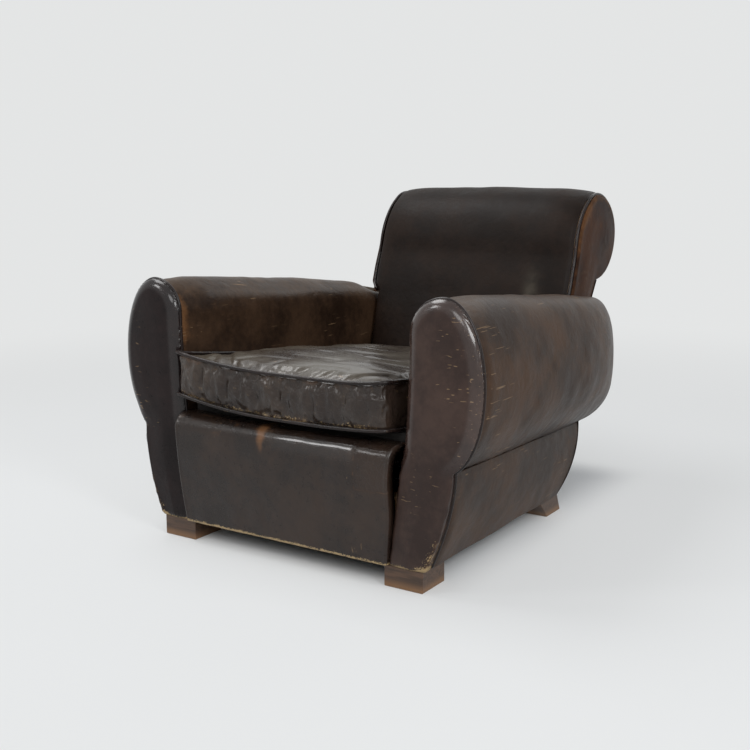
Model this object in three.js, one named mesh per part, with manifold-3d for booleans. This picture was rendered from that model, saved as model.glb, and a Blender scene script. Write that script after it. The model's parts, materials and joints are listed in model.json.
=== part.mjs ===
// A worn leather club chair: rolled arms with flat fronts, a raked back with a rolled top, a loose seat
// cushion on a sprung deck, block feet in front and splayed legs behind.
// Millimetres, Z up. X runs across the chair, Y from the arm fronts towards the back.
// Right and left are those of someone who stands in front and looks at the chair.
import * as THREE from "three";
import { mergeVertices } from "three/addons/utils/BufferGeometryUtils.js";
import Module from "manifold-3d";

const wasm = await Module();
wasm.setup();

// Fits
const TOUCH = 0.3; // gap that two touching pieces keep
const SLIP = 1; // gap beside a loose piece
const STUFFING_GAP = 3; // the stuffing lies loosely inside the covers

// Height of the body's underside and the rake of its rear face
const BASE_Z = 46;
const REAR_Y = 635; // rear face at the underside
const RAKE = 0.666; // rear face runs back this much for each millimetre of height

// Leather with its wadding, as one skin
const SKIN = 5;
const PIPING_RADIUS = 4;
const PIPING_SEAT = SKIN - PIPING_RADIUS; // the piping rests on the board under the skin's edge

// Arm front, seen from the front
const ARM_HEIGHT = 585;
const ARM_INNER_BASE = 267; // from the chair's middle to the arm's inner edge, at the underside
const ARM_INNER_TOP = 300; // the same, below the roll
const ARM_CORNER = 72; // height of the rounded inner top corner
const ARM_ROLL_X = 372; // crown of the roll
const ARM_ROLL_WIDTH = 88; // crown to the outermost point
const ARM_ROLL_HALF_HEIGHT = 172;
const ARM_PINCH_X = 401; // seam where the roll meets the outside panel
const ARM_OUTER_BASE = 348;
const ARM_OUTER_BELLY = 85; // how far above straight the outside edge is pulled, for its curve

// Arm along its length
const ARM_SEAM_FALL = 0.054; // fall of the seam for each millimetre of depth
const ARM_ROLL_TAPER = 0.000086; // share of its height that the roll loses for each millimetre
const ARM_NARROWING = 0.065; // how fast the seam comes inwards
const ARM_PADDING = 13; // how far the inside of the arm bulges into the seat
const ARM_PADDING_RUN = 70; // depth in which it does so
const ARM_DOME = 290; // length of the rounded rear end
const ARM_DOME_CUT = 0.94; // how much of the quarter round is there before the rear face
const ARM_DOME_FALL = 0.1; // share of its height that the roll's crown loses in the rounded end
const ARM_DOME_X = 300; // line that the rear end rounds in to
const ARM_DOME_START = 280; // height above the seam in which the rounding begins
const ARM_EASE = 0.85; // crowds the rows of the covering towards the rounded end

const FACING_DEPTH = 20;
const FACING_RIM = 8;
const BOARD = 24; // thickness of the shaped boards of the arm fronts
const TACK_Z = 292; // where the inside arm is tacked, at deck height
const INNER_CURVE = 1.6; // bend of the arm's inner edge

// Seat
const APRON_FRONT = -22; // the apron stands proud of the arm fronts
const APRON_TOP = 292;
const APRON_EDGE = 28; // radius of its top edge
const APRON_BELLY = 9;
const APRON_LIFT = 2;
const CUSHION_FRONT = -18;
const CUSHION_HALF_WIDTH = 271;
const CUSHION_BOTTOM_Z = 314; // at the arm fronts
const CUSHION_BOTTOM_SLOPE = 0.08;
const CUSHION_THICKNESS = 104;
const CUSHION_THINNING = 0.015; // loss of thickness for each millimetre of depth
const CUSHION_CORNER = 34;
const CUSHION_CHAMFER = 12;
const CUSHION_CROWN = 14;
const DECK_THICKNESS = 30;
const HESSIAN = 2;
const HESSIAN_MARGIN = 14;

// Back, seen from the side
const BACK_HALF_WIDTH = 300;
const BACK_FOOT_Y = 728;
const BACK_FRONT_Y = 822; // where the front starts to round over
const BACK_FRONT_Z = 612;
const BACK_LUMBAR = 9; // padding that fills the lower back forwards
const BACK_CREST_Y = 965;
const BACK_CREST_Z = 754;
const BACK_ROLL_Z = 655; // height at which the roll reaches furthest back
const BACK_ROLL_REACH = 122;
const BACK_CROWN = 26; // rise of the middle above the side facings
const BACK_CROWN_POWER = 6;
const BACK_SET = 26; // how far its sides lie behind the middle of its front
const BACK_SET_RUN = 70; // depth in which that fades out towards the rear

// How finely curves are divided
const CORNER_STEPS = 5;
const ROLL_STEPS = 12;
const EDGE_STEPS = 5;
const SHORT_EDGE_STEPS = 3;
const SHOULDER_STEPS = 7;
const ARM_ROWS = 11;
const OUTSIDE_ROWS = 6;
const BACK_ROWS = 10;
const PIPING_SIDES = 6;
const WIRE_SIDES = 4;
const WIRE_STEPS = 8; // for each turn of a spring

// Wooden frame
const RAIL = 30;
const RAIL_HEIGHT = 80;
const FRONT_RAIL_HEIGHT = 120;
const FRONT_RAIL_HALF_LENGTH = 325;
const SIDE_RAIL_X = 300;
const POST_WIDTH = 38;
const POST_DEPTH = 60;
const POST_TOP = 395;
const ARM_RAIL_X = 305;
const ARM_RAIL_WIDTH = 45;
const ARM_RAIL_Z = 455;
const ARM_RAIL_HEIGHT = 30;
const TACK_RAIL_WIDTH = 30;
const TACK_RAIL_HEIGHT = 34;
const BACK_BOARD = 24;
const BACK_RAIL_SECTION = 28;
const BACK_STAY_RAIL_Z = 300;
const FOOT_WIDTH = 90;
const FOOT_DEPTH = 88;
const FOOT_OUTER = 343;
const REAR_FOOT_WIDTH = 60;
const REAR_FOOT_TOP_START = 545;
const REAR_FOOT_TOP_END = 645;
const REAR_FOOT_BOTTOM_START = 589;
const REAR_FOOT_BOTTOM_END = 666;

// Webbing, springs and dust cover
const DUST_COVER = 1.5;
const WEB = 2;
const WEB_WIDTH = 50;
const WEB_GRIP = 22; // length of a strip that lies under a rail
const SPRING_ROWS = 3;
const SPRING_PITCH_X = 165;
const SPRING_FIRST_Y = 170;
const SPRING_WIRE = 2.2; // radius
const SPRING_END_RADIUS = 42;
const SPRING_WAIST_RADIUS = 27;
const SPRING_TURNS = 5;

const leather = new THREE.MeshStandardMaterial({ color: 0x2b1a13, roughness: 0.38, metalness: 0 });
const leatherRed = new THREE.MeshStandardMaterial({ color: 0x3a2018, roughness: 0.42, metalness: 0 });
const wood = new THREE.MeshStandardMaterial({ color: 0x5f3a20, roughness: 0.55, metalness: 0 });
const beech = new THREE.MeshStandardMaterial({ color: 0xb58a5a, roughness: 0.7, metalness: 0 });
const jute = new THREE.MeshStandardMaterial({ color: 0x9a7b4e, roughness: 0.95, metalness: 0 });
const hair = new THREE.MeshStandardMaterial({ color: 0x4a3b2c, roughness: 0.95, metalness: 0 });
const steel = new THREE.MeshStandardMaterial({ color: 0x7d7f80, roughness: 0.45, metalness: 0.9 });
const blackCloth = new THREE.MeshStandardMaterial({ color: 0x151414, roughness: 0.95, metalness: 0 });

const chair = new THREE.Group();
chair.position.y = -(APRON_FRONT + BACK_CREST_Y + BACK_ROLL_REACH) / 2;

// Geometry helpers

const MITRE_LIMIT = 0.5;
const at = (x, y) => new THREE.Vector2(x, y);
const clamp = THREE.MathUtils.clamp;

// Turns a geometry into a closed solid whose faces point out.
function solid(geometry) {
  const bare = geometry.clone();
  bare.deleteAttribute("normal");
  bare.deleteAttribute("uv");
  const merged = mergeVertices(bare, 1e-3);
  const triangles = new Uint32Array(merged.index.array);
  const build = () =>
    new wasm.Manifold(
      new wasm.Mesh({
        numProp: 3,
        vertProperties: merged.attributes.position.array,
        triVerts: triangles,
      }),
    );
  const made = build();
  if (made.volume() > 0) return made;
  for (let i = 0; i < triangles.length; i += 3) {
    [triangles[i + 1], triangles[i + 2]] = [triangles[i + 2], triangles[i + 1]];
  }
  return build();
}

function geometryOf(manifold) {
  const mesh = manifold.getMesh();
  const geometry = new THREE.BufferGeometry();
  geometry.setAttribute("position", new THREE.BufferAttribute(mesh.vertProperties, 3));
  geometry.setIndex(new THREE.BufferAttribute(mesh.triVerts, 1));
  geometry.computeVertexNormals();
  return geometry;
}

// Extrudes an outline in steps and puts each vertex where place(a, b, along) says, with along from 0 to 1.
function loft(outline, steps, place) {
  const geometry = new THREE.ExtrudeGeometry(new THREE.Shape(outline), {
    depth: 1,
    steps,
    bevelEnabled: false,
  });
  return moved(geometry, place);
}

function moved(geometry, place) {
  const position = geometry.attributes.position;
  const point = new THREE.Vector3();
  for (let i = 0; i < position.count; i++) {
    point.fromBufferAttribute(position, i);
    const target = place(point.x, point.y, point.z);
    position.setXYZ(i, target.x, target.y, target.z);
  }
  return solid(geometry);
}

function box(x0, x1, y0, y1, z0, z1) {
  const geometry = new THREE.BoxGeometry(x1 - x0, y1 - y0, z1 - z0);
  geometry.translate((x0 + x1) / 2, (y0 + y1) / 2, (z0 + z1) / 2);
  return solid(geometry);
}

// Line parallel to an outline, at a distance to its right-hand side as one walks along it.
function inset(points, distance, closed = false) {
  const last = points.length - 1;
  const heading = (from, to) => points[to].clone().sub(points[from]).normalize();
  return points.map((point, i) => {
    const isStart = i === 0 && !closed;
    const isEnd = i === last && !closed;
    const before = isStart ? heading(0, 1) : heading(i > 0 ? i - 1 : last, i);
    const after = isEnd ? before : heading(i, i < last ? i + 1 : 0);
    const mean = before.clone().add(after).normalize();
    const reach = distance / Math.max(mean.dot(before), MITRE_LIMIT);
    return at(point.x + mean.y * reach, point.y - mean.x * reach);
  });
}

// Lengthens or shortens the first and last stretch of a line so that both ends lie at one height.
function endAt(height, line) {
  const last = line.length - 1;
  const reach = (from, to) => (height - from.y) / (to.y - from.y);
  line[0] = line[1].clone().lerp(line[0], reach(line[1], line[0]));
  line[last] = line[last - 1].clone().lerp(line[last], reach(line[last - 1], line[last]));
}

// Closed outline of a skin that lies on the inner side of a line.
function skin(points, thickness = SKIN) {
  return [...points, ...inset(points, thickness).reverse()];
}

function add(name, shape, material) {
  const mesh = new THREE.Mesh(geometryOf(shape), material);
  mesh.name = name;
  chair.add(mesh);
}

// The same piece on the right and, mirrored, on the left.
function addPair(name, shape, material) {
  add(`${name}_right`, shape, material);
  const mirrored = geometryOf(shape).scale(-1, 1, 1);
  add(`${name}_left`, solid(mirrored), material);
}

// Smooth curve through the corners of an outline, whose steps fall on those corners.
class Seam extends THREE.CatmullRomCurve3 {
  getPointAt(along) {
    return this.getPoint(along);
  }

  getTangentAt(along) {
    return this.getTangent(along);
  }
}

// Round bar with flat facets along a curve.
function rod(curve, radius, sides, steps) {
  const section = new THREE.Shape(
    Array.from({ length: sides }, (_, i) => {
      const angle = (i / sides) * 2 * Math.PI;
      return at(radius * Math.cos(angle), radius * Math.sin(angle));
    }),
  );
  return new THREE.ExtrudeGeometry(section, { steps, extrudePath: curve });
}

// Rear face of the chair's body

const rearY = (z) => REAR_Y + RAKE * (z - BASE_Z);

// Arm

const ROLL_Z = ARM_HEIGHT - ARM_ROLL_HALF_HEIGHT;
const CORNER_Z = ARM_HEIGHT - ARM_CORNER;
const PINCH_ANGLE = -Math.acos((ARM_PINCH_X - ARM_ROLL_X) / ARM_ROLL_WIDTH);
const PINCH_Z = ROLL_Z + ARM_ROLL_HALF_HEIGHT * Math.sin(PINCH_ANGLE);
const ARM_START = FACING_DEPTH + 2 * TOUCH + 2 * PIPING_RADIUS; // the piping lies between facing and cover
const BOARD_FRONT = FACING_DEPTH + TOUCH;
const BOARD_BACK = BOARD_FRONT + BOARD;
const ARM_PADDING_EDGE = (ARM_INNER_TOP + ARM_ROLL_X) / 2;
const POST_X = ARM_INNER_TOP - ARM_PADDING + SKIN + SLIP; // the rear posts stand inside the arm's cover

function innerX(z) {
  const height = clamp((z - BASE_Z) / (CORNER_Z - BASE_Z), 0, 1);
  return ARM_INNER_TOP - (ARM_INNER_TOP - ARM_INNER_BASE) * (1 - height) ** INNER_CURVE;
}

// Inner edge, from one height up to the rounded corner.
function innerEdge(fromZ, count) {
  return Array.from({ length: count }, (_, i) => {
    const z = fromZ + ((CORNER_Z - fromZ) * i) / count;
    return at(innerX(z), z);
  });
}

function rollEdge() {
  const cornerWidth = ARM_ROLL_X - ARM_INNER_TOP;
  const corner = new THREE.EllipseCurve(
    ARM_ROLL_X, CORNER_Z, cornerWidth, ARM_CORNER, Math.PI, Math.PI / 2, true);
  const roll = new THREE.EllipseCurve(
    ARM_ROLL_X, ROLL_Z, ARM_ROLL_WIDTH, ARM_ROLL_HALF_HEIGHT, Math.PI / 2, PINCH_ANGLE, true);
  return [...corner.getPoints(CORNER_STEPS), ...roll.getPoints(ROLL_STEPS).slice(1)];
}

function outsideEdge() {
  const foot = at(ARM_OUTER_BASE, BASE_Z);
  const belly = at(ARM_PINCH_X, PINCH_Z - ARM_OUTER_BELLY);
  return new THREE.QuadraticBezierCurve(at(ARM_PINCH_X, PINCH_Z), belly, foot).getPoints(EDGE_STEPS);
}

function armOutline() {
  return [...innerEdge(BASE_Z, EDGE_STEPS), ...rollEdge(), ...outsideEdge().slice(1)];
}

// Height that a point of the arm front has further back: the seam falls and the roll gets lower.
function fallen(z, y) {
  const seam = PINCH_Z - ARM_SEAM_FALL * y;
  if (z >= PINCH_Z) return seam + (z - PINCH_Z) * (1 - ARM_ROLL_TAPER * y);
  return BASE_Z + ((z - BASE_Z) * (seam - BASE_Z)) / (PINCH_Z - BASE_Z);
}

// Share of a quarter round that is gone where its run has come this far.
function roundedOff(run) {
  return 1 - Math.sqrt(1 - run ** 2);
}

// How far a point of the roll falls in the rounded rear end.
function domeFall(z, cut) {
  return ARM_DOME_FALL * cut * Math.max(z - PINCH_Z, 0);
}

// Depth of the arm's rear end for a point of its front.
function armEnd(z) {
  const height = fallen(z, rearY(z)) - domeFall(z, roundedOff(ARM_DOME_CUT));
  return rearY(height) - SKIN - TOUCH;
}

// Height of the roll's top at a distance from the chair's middle, where the inside of the arm is padded.
function armTop(x) {
  const bulge = ARM_PADDING / (ARM_PADDING_EDGE - ARM_INNER_TOP);
  const before = Math.max(x, (x + bulge * ARM_PADDING_EDGE) / (1 + bulge));
  const share = clamp((ARM_ROLL_X - before) / (ARM_ROLL_X - ARM_INNER_TOP), 0, 1);
  return CORNER_Z + ARM_CORNER * Math.sqrt(1 - share ** 2);
}

// Place of a point of the arm front at a depth: narrower behind, padded inside, rounded at the rear end.
function armPoint(x, y, z) {
  const height = fallen(z, y);
  const outer = clamp((x - ARM_INNER_TOP) / (ARM_PINCH_X - ARM_INNER_TOP), 0, 1);
  const below = (z - BASE_Z) / (PINCH_Z - BASE_Z);
  const above = 1 - (z - PINCH_Z) / ARM_ROLL_HALF_HEIGHT;
  const pull = z < PINCH_Z ? below : clamp(above, 0, 1) ** 2;
  const inner = clamp((ARM_PADDING_EDGE - x) / (ARM_PADDING_EDGE - ARM_INNER_TOP), 0, 1);
  const padding = ARM_PADDING * inner * clamp((y - BOARD_BACK) / ARM_PADDING_RUN, 0, 1);
  const flat = x - ARM_NARROWING * y * outer * pull - padding;
  const intoDome = clamp((y - armEnd(z) + ARM_DOME) / ARM_DOME, 0, 1) * ARM_DOME_CUT;
  const domed = clamp((z - PINCH_Z) / ARM_DOME_START, 0, 1);
  const cut = roundedOff(intoDome);
  const across = flat > ARM_DOME_X ? flat - (flat - ARM_DOME_X) * domed * cut : flat;
  return new THREE.Vector3(across, y, height - domeFall(z, cut));
}

// Carries an outline of the arm front back to the rear face, with more rows where the rear end rounds.
function armLoft(outline, start, steps) {
  const quarter = (Math.PI / 2) * ARM_EASE;
  return loft(outline, steps, (x, z, along) => {
    const eased = Math.sin(along * quarter) / Math.sin(quarter);
    return armPoint(x, start + (armEnd(z) - start) * eased, z);
  });
}

function armFacing() {
  const straight = 2 * (FACING_DEPTH - FACING_RIM);
  const geometry = new THREE.ExtrudeGeometry(new THREE.Shape(armOutline()), {
    depth: straight,
    steps: 1,
    bevelSize: FACING_RIM,
    bevelOffset: -FACING_RIM,
    bevelThickness: FACING_RIM,
    bevelSegments: 3,
  });
  const whole = moved(geometry, (x, z, y) => new THREE.Vector3(x, y + FACING_RIM, z));
  const behind = box(0, 2 * ARM_PINCH_X, FACING_DEPTH, 3 * FACING_DEPTH, -BASE_Z, 2 * ARM_HEIGHT);
  return whole.subtract(behind);
}

function armBoard() {
  const outline = inset(armOutline(), SKIN + TOUCH);
  endAt(BASE_Z, outline);
  return loft(outline, 1, (x, z, along) => armPoint(x, BOARD_FRONT + BOARD * along, z));
}

function armPiping() {
  const line = inset(armOutline(), PIPING_SEAT);
  endAt(BASE_Z + PIPING_RADIUS, line);
  const middle = FACING_DEPTH + TOUCH + PIPING_RADIUS;
  const path = new Seam(line.map((p) => new THREE.Vector3(p.x, middle, p.y)));
  return solid(rod(path, PIPING_RADIUS, PIPING_SIDES, line.length - 1));
}

function armCover() {
  return armLoft(skin([...innerEdge(TACK_Z, SHORT_EDGE_STEPS), ...rollEdge()]), ARM_START, ARM_ROWS);
}

function outsideArm() {
  const seam = outsideEdge();
  seam[0].y -= TOUCH;
  return armLoft(skin(seam), ARM_START, OUTSIDE_ROWS);
}

// A straight rail along the arm, which falls with the arm, from the front board to the rear post.
function armRail(x, z, width, height, spare = 0) {
  const section = [
    at(x - spare, z - spare),
    at(x + width + spare, z - spare),
    at(x + width + spare, z + height + spare),
    at(x - spare, z + height + spare),
  ];
  return loft(section, 1, (across, up, along) => {
    const start = BOARD_BACK + TOUCH - spare;
    const end = postFront(fallen(up, rearY(up))) - TOUCH + spare;
    const y = start + (end - start) * along;
    return new THREE.Vector3(across, y, fallen(up, y));
  });
}

const topRail = (spare) => armRail(ARM_RAIL_X, ARM_RAIL_Z, ARM_RAIL_WIDTH, ARM_RAIL_HEIGHT, spare);
const tackRailX = innerX(TACK_Z + TACK_RAIL_HEIGHT) + SKIN + TOUCH;
const tackRail = (spare) => armRail(tackRailX, TACK_Z, TACK_RAIL_WIDTH, TACK_RAIL_HEIGHT, spare);

function armStuffing() {
  const line = inset([...innerEdge(TACK_Z, SHORT_EDGE_STEPS), ...rollEdge()], SKIN + STUFFING_GAP).slice(0, -3);
  const whole = armLoft(line, ARM_START, ARM_ROWS);
  const front = box(0, 2 * ARM_PINCH_X, 0, BOARD_BACK + TOUCH, 0, 2 * ARM_HEIGHT);
  const cuts = [front, topRail(TOUCH), tackRail(TOUCH), post(TOUCH)];
  return cuts.reduce((rest, cut) => rest.subtract(cut), whole);
}

addPair("arm_facing", armFacing(), leather);
addPair("arm_piping", armPiping(), leather);
addPair("arm_cover", armCover(), leather);
addPair("outside_arm", outsideArm(), leather);
addPair("arm_front_board", armBoard(), beech);
addPair("arm_rail", topRail(0), beech);
addPair("arm_tack_rail", tackRail(0), beech);
addPair("arm_stuffing", armStuffing(), hair);

// Rear posts, each with its splayed foot, and the front feet

function postBack(z) {
  return rearY(z) - SKIN - 2 * TOUCH;
}

function postFront(z) {
  return postBack(z) - POST_DEPTH;
}

function post(spare = 0) {
  const section = [
    at(postFront(BASE_Z - SLIP), BASE_Z - SLIP),
    at(postBack(BASE_Z - SLIP), BASE_Z - SLIP),
    at(postBack(POST_TOP), POST_TOP),
    at(postFront(POST_TOP), POST_TOP),
  ];
  const grown = inset(section, spare, true);
  return loft(grown, 1, (y, z, along) => {
    return new THREE.Vector3(POST_X - spare + (POST_WIDTH + 2 * spare) * along, y, z);
  });
}

function rearPost() {
  const foot = [
    at(REAR_FOOT_BOTTOM_START, 0),
    at(REAR_FOOT_BOTTOM_END, 0),
    at(REAR_FOOT_TOP_END, BASE_Z - TOUCH),
    at(REAR_FOOT_TOP_START, BASE_Z - TOUCH),
  ];
  const block = loft(foot, 1, (y, z, along) => {
    return new THREE.Vector3(FOOT_OUTER - REAR_FOOT_WIDTH * along, y, z);
  });
  return block.add(post());
}

addPair("rear_post", rearPost(), wood);
addPair(
  "front_foot",
  box(FOOT_OUTER - FOOT_WIDTH, FOOT_OUTER, 0, FOOT_DEPTH, 0, BASE_Z - TOUCH),
  wood,
);

// Seat rails

const RAIL_BASE = BASE_Z + DUST_COVER + 2 * WEB + 3 * TOUCH;
const FRONT_RAIL_Y = BOARD_BACK + TOUCH;
const FRONT_RAIL_BACK = FRONT_RAIL_Y + RAIL;

function sideRail() {
  const section = [
    at(SIDE_RAIL_X, RAIL_BASE),
    at(SIDE_RAIL_X + RAIL, RAIL_BASE),
    at(SIDE_RAIL_X + RAIL, RAIL_BASE + RAIL_HEIGHT),
    at(SIDE_RAIL_X, RAIL_BASE + RAIL_HEIGHT),
  ];
  return loft(section, 1, (x, z, along) => {
    const start = FRONT_RAIL_BACK + TOUCH;
    return new THREE.Vector3(x, start + (postFront(z) - TOUCH - start) * along, z);
  });
}

function rearRail() {
  const top = RAIL_BASE + RAIL_HEIGHT;
  const section = [
    at(postBack(RAIL_BASE) - RAIL, RAIL_BASE),
    at(postBack(RAIL_BASE), RAIL_BASE),
    at(postBack(top), top),
    at(postBack(top) - RAIL, top),
  ];
  const half = POST_X - TOUCH;
  return loft(section, 1, (y, z, along) => new THREE.Vector3(half * (2 * along - 1), y, z));
}

add(
  "front_rail",
  box(
    -FRONT_RAIL_HALF_LENGTH, FRONT_RAIL_HALF_LENGTH,
    FRONT_RAIL_Y, FRONT_RAIL_BACK,
    RAIL_BASE, RAIL_BASE + FRONT_RAIL_HEIGHT),
  beech,
);
addPair("side_rail", sideRail(), beech);
add("rear_rail", rearRail(), beech);

// Dust cover and woven webbing

function dustCover() {
  const rear = postBack(BASE_Z);
  const notch = postFront(BASE_Z) - TOUCH;
  const half = ARM_OUTER_BASE - SKIN - SLIP;
  const inner = POST_X - TOUCH;
  const right = [at(half, FRONT_RAIL_Y), at(half, notch), at(inner, notch), at(inner, rear)];
  const left = right.map((p) => at(-p.x, p.y)).reverse();
  return loft([...right, ...left], 1, (x, y, along) => {
    return new THREE.Vector3(x, y, BASE_Z + DUST_COVER * along);
  });
}

const WEB_LOW = BASE_Z + DUST_COVER + TOUCH;
const WEB_HIGH = WEB_LOW + WEB + TOUCH;
const springOrder = Array.from({ length: SPRING_ROWS }, (_, i) => i);
const springX = springOrder.map((i) => (i - (SPRING_ROWS - 1) / 2) * SPRING_PITCH_X);
const springLastY = postFront(BASE_Z) - WEB_WIDTH / 2 - 2 * SLIP;
const springPitchY = (springLastY - SPRING_FIRST_Y) / (SPRING_ROWS - 1);
const springY = springOrder.map((i) => SPRING_FIRST_Y + i * springPitchY);

// Side view of a strip that passes over and under the strips it crosses, and ends high under the rails.
function wovenOutline(start, end, crossings, lowFirst) {
  const reach = WEB_WIDTH / 2 + 2 * WEB;
  const line = [at(start, WEB_HIGH)];
  crossings.forEach((middle, i) => {
    const height = (i % 2 === 0) === lowFirst ? WEB_LOW : WEB_HIGH;
    line.push(at(middle - reach, height), at(middle + reach, height));
  });
  line.push(at(end, WEB_HIGH));
  const upper = line.map((p) => at(p.x, p.y + WEB)).reverse();
  return [...line, ...upper];
}

function addWebbing() {
  const rear = postBack(RAIL_BASE) - RAIL + WEB_GRIP;
  const side = SIDE_RAIL_X + WEB_GRIP;
  springX.forEach((x, i) => {
    const outline = wovenOutline(FRONT_RAIL_BACK - WEB_GRIP, rear, springY, i % 2 === 0);
    const strip = loft(outline, 1, (y, z, along) => {
      return new THREE.Vector3(x + WEB_WIDTH * (along - 0.5), y, z);
    });
    add(`webbing_long_${i + 1}`, strip, jute);
  });
  springY.forEach((y, i) => {
    const outline = wovenOutline(-side, side, springX, i % 2 === 1);
    const strip = loft(outline, 1, (x, z, along) => {
      return new THREE.Vector3(x, y + WEB_WIDTH * (along - 0.5), z);
    });
    add(`webbing_cross_${i + 1}`, strip, jute);
  });
}

add("dust_cover", dustCover(), blackCloth);
addWebbing();

// Deck, hessian and springs

const cushionBottom = (y) => CUSHION_BOTTOM_Z - CUSHION_BOTTOM_SLOPE * y;
const deckTop = (y) => cushionBottom(y) - TOUCH;
const deckBottom = (y) => deckTop(y) - DECK_THICKNESS;
const hessianBottom = (y) => deckBottom(y) - TOUCH - HESSIAN;
const DECK_START = BOARD_BACK + TOUCH;
const DECK_END = BACK_FOOT_Y - SLIP;
const DECK_HALF_WIDTH = innerX(TACK_Z) - ARM_PADDING - SLIP;

// Flat layer between two heights that change with depth.
function layer(halfWidth, start, end, bottom, top) {
  const outline = [at(-halfWidth, start), at(halfWidth, start), at(halfWidth, end), at(-halfWidth, end)];
  return loft(outline, 1, (x, y, along) => {
    return new THREE.Vector3(x, y, bottom(y) + (top(y) - bottom(y)) * along);
  });
}

// Coil that is wide at both ends and narrow at its waist.
class CoilCurve extends THREE.Curve {
  constructor(x, y, bottom, top, phase) {
    super();
    Object.assign(this, { x, y, bottom, top, phase });
  }

  getPoint(along) {
    const fromWaist = Math.abs(2 * along - 1) ** 1.5;
    const radius = SPRING_WAIST_RADIUS + (SPRING_END_RADIUS - SPRING_WAIST_RADIUS) * fromWaist;
    const angle = this.phase + along * SPRING_TURNS * 2 * Math.PI;
    return new THREE.Vector3(
      this.x + radius * Math.cos(angle),
      this.y + radius * Math.sin(angle),
      this.bottom + (this.top - this.bottom) * along,
    );
  }
}

function addSprings() {
  const bottom = WEB_HIGH + WEB + TOUCH + SPRING_WIRE;
  springY.forEach((y, row) => {
    springX.forEach((x, column) => {
      const top = hessianBottom(y + SPRING_END_RADIUS) - TOUCH - SPRING_WIRE;
      const phase = ((row + column) % 2) * (Math.PI / 2); // starts over the strip that lies on top
      const coil = new CoilCurve(x, y, bottom, top, phase);
      const wire = rod(coil, SPRING_WIRE, WIRE_SIDES, WIRE_STEPS * SPRING_TURNS);
      add(`seat_spring_${row + 1}_${column + 1}`, solid(wire), steel);
    });
  });
}

add("seat_deck", layer(DECK_HALF_WIDTH, DECK_START, DECK_END, deckBottom, deckTop), hair);
add(
  "seat_hessian",
  layer(
    DECK_HALF_WIDTH - HESSIAN_MARGIN,
    DECK_START + HESSIAN_MARGIN,
    DECK_END - HESSIAN_MARGIN,
    hessianBottom,
    (y) => hessianBottom(y) + HESSIAN),
  jute,
);
addSprings();

// Apron

function frontApron() {
  const foot = BASE_Z + APRON_LIFT;
  const shoulder = at(APRON_FRONT + APRON_EDGE, APRON_TOP - APRON_EDGE);
  const face = new THREE.QuadraticBezierCurve(
    at(APRON_FRONT + APRON_BELLY, foot),
    at(APRON_FRONT - APRON_BELLY / 3, (foot + shoulder.y) / 2),
    at(APRON_FRONT, shoulder.y));
  const edge = new THREE.EllipseCurve(
    shoulder.x, shoulder.y, APRON_EDGE, APRON_EDGE, Math.PI, Math.PI / 2, true);
  const outline = [
    ...face.getPoints(EDGE_STEPS),
    ...edge.getPoints(CORNER_STEPS).slice(1),
    at(BOARD_BACK, APRON_TOP),
    at(BOARD_BACK, foot),
  ];
  return loft(outline, 1, (y, z, along) => {
    const half = innerX(z) - PIPING_RADIUS + PIPING_SEAT - SLIP;
    return new THREE.Vector3(half * (2 * along - 1), y, z);
  });
}

add("front_apron", frontApron(), leather);

// Seat cushion with piping along its upper and lower edges

const PIPING_OUT = (PIPING_RADIUS + TOUCH) * Math.SQRT2 - CUSHION_CHAMFER + PIPING_RADIUS;
const CUSHION_END = BACK_FOOT_Y - SLIP - PIPING_OUT - PIPING_RADIUS;

function cushionPlan(grow = 0) {
  const half = CUSHION_HALF_WIDTH + grow;
  const radius = CUSHION_CORNER + grow;
  const front = CUSHION_FRONT - grow;
  const end = CUSHION_END + grow;
  const shape = new THREE.Shape();
  shape.moveTo(radius - half, front);
  shape.lineTo(half - radius, front);
  shape.absarc(half - radius, front + radius, radius, -Math.PI / 2, 0, false);
  shape.lineTo(half, end - radius);
  shape.absarc(half - radius, end - radius, radius, 0, Math.PI / 2, false);
  shape.lineTo(radius - half, end);
  shape.absarc(radius - half, end - radius, radius, Math.PI / 2, Math.PI, false);
  shape.lineTo(-half, front + radius);
  shape.absarc(radius - half, front + radius, radius, Math.PI, 1.5 * Math.PI, false);
  return shape;
}

// Lays a flat cushion of full thickness on the sloping deck, thinner towards the back.
function onDeck(x, y, z) {
  const thickness = CUSHION_THICKNESS - CUSHION_THINNING * y;
  return new THREE.Vector3(x, y, cushionBottom(y) + (z / CUSHION_THICKNESS) * thickness);
}

function seatCushion() {
  const geometry = new THREE.ExtrudeGeometry(cushionPlan(), {
    depth: CUSHION_THICKNESS - 2 * CUSHION_CHAMFER,
    steps: 1,
    curveSegments: 4,
    bevelSize: CUSHION_CHAMFER,
    bevelOffset: -CUSHION_CHAMFER,
    bevelThickness: CUSHION_CHAMFER,
    bevelSegments: 1,
  });
  const slab = moved(geometry, (x, y, z) => onDeck(x, y, z + CUSHION_CHAMFER));
  return slab.add(cushionCrown());
}

// Low dome on top of the cushion.
function cushionCrown() {
  const rim = 4 * CUSHION_CHAMFER;
  const dome = new THREE.SphereGeometry(1, 20, 10);
  const middle = (CUSHION_FRONT + CUSHION_END) / 2;
  const halfDepth = (CUSHION_END - CUSHION_FRONT) / 2 - rim;
  return moved(dome, (x, y, z) => {
    return onDeck(
      x * (CUSHION_HALF_WIDTH - rim),
      middle + y * halfDepth,
      CUSHION_THICKNESS + z * CUSHION_CROWN);
  });
}

// Piping seated on the chamfer of the upper or lower edge of the cushion, flush with its top or bottom.
function cushionPiping(z) {
  const corners = cushionPlan(PIPING_OUT).getPoints(4).filter((p, i, all) => {
    return p.distanceTo(all[(i + 1) % all.length]) > TOUCH;
  });
  const path = new Seam(corners.map((p) => new THREE.Vector3(p.x, p.y, z)), true);
  return moved(rod(path, PIPING_RADIUS, PIPING_SIDES, corners.length), onDeck);
}

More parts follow.
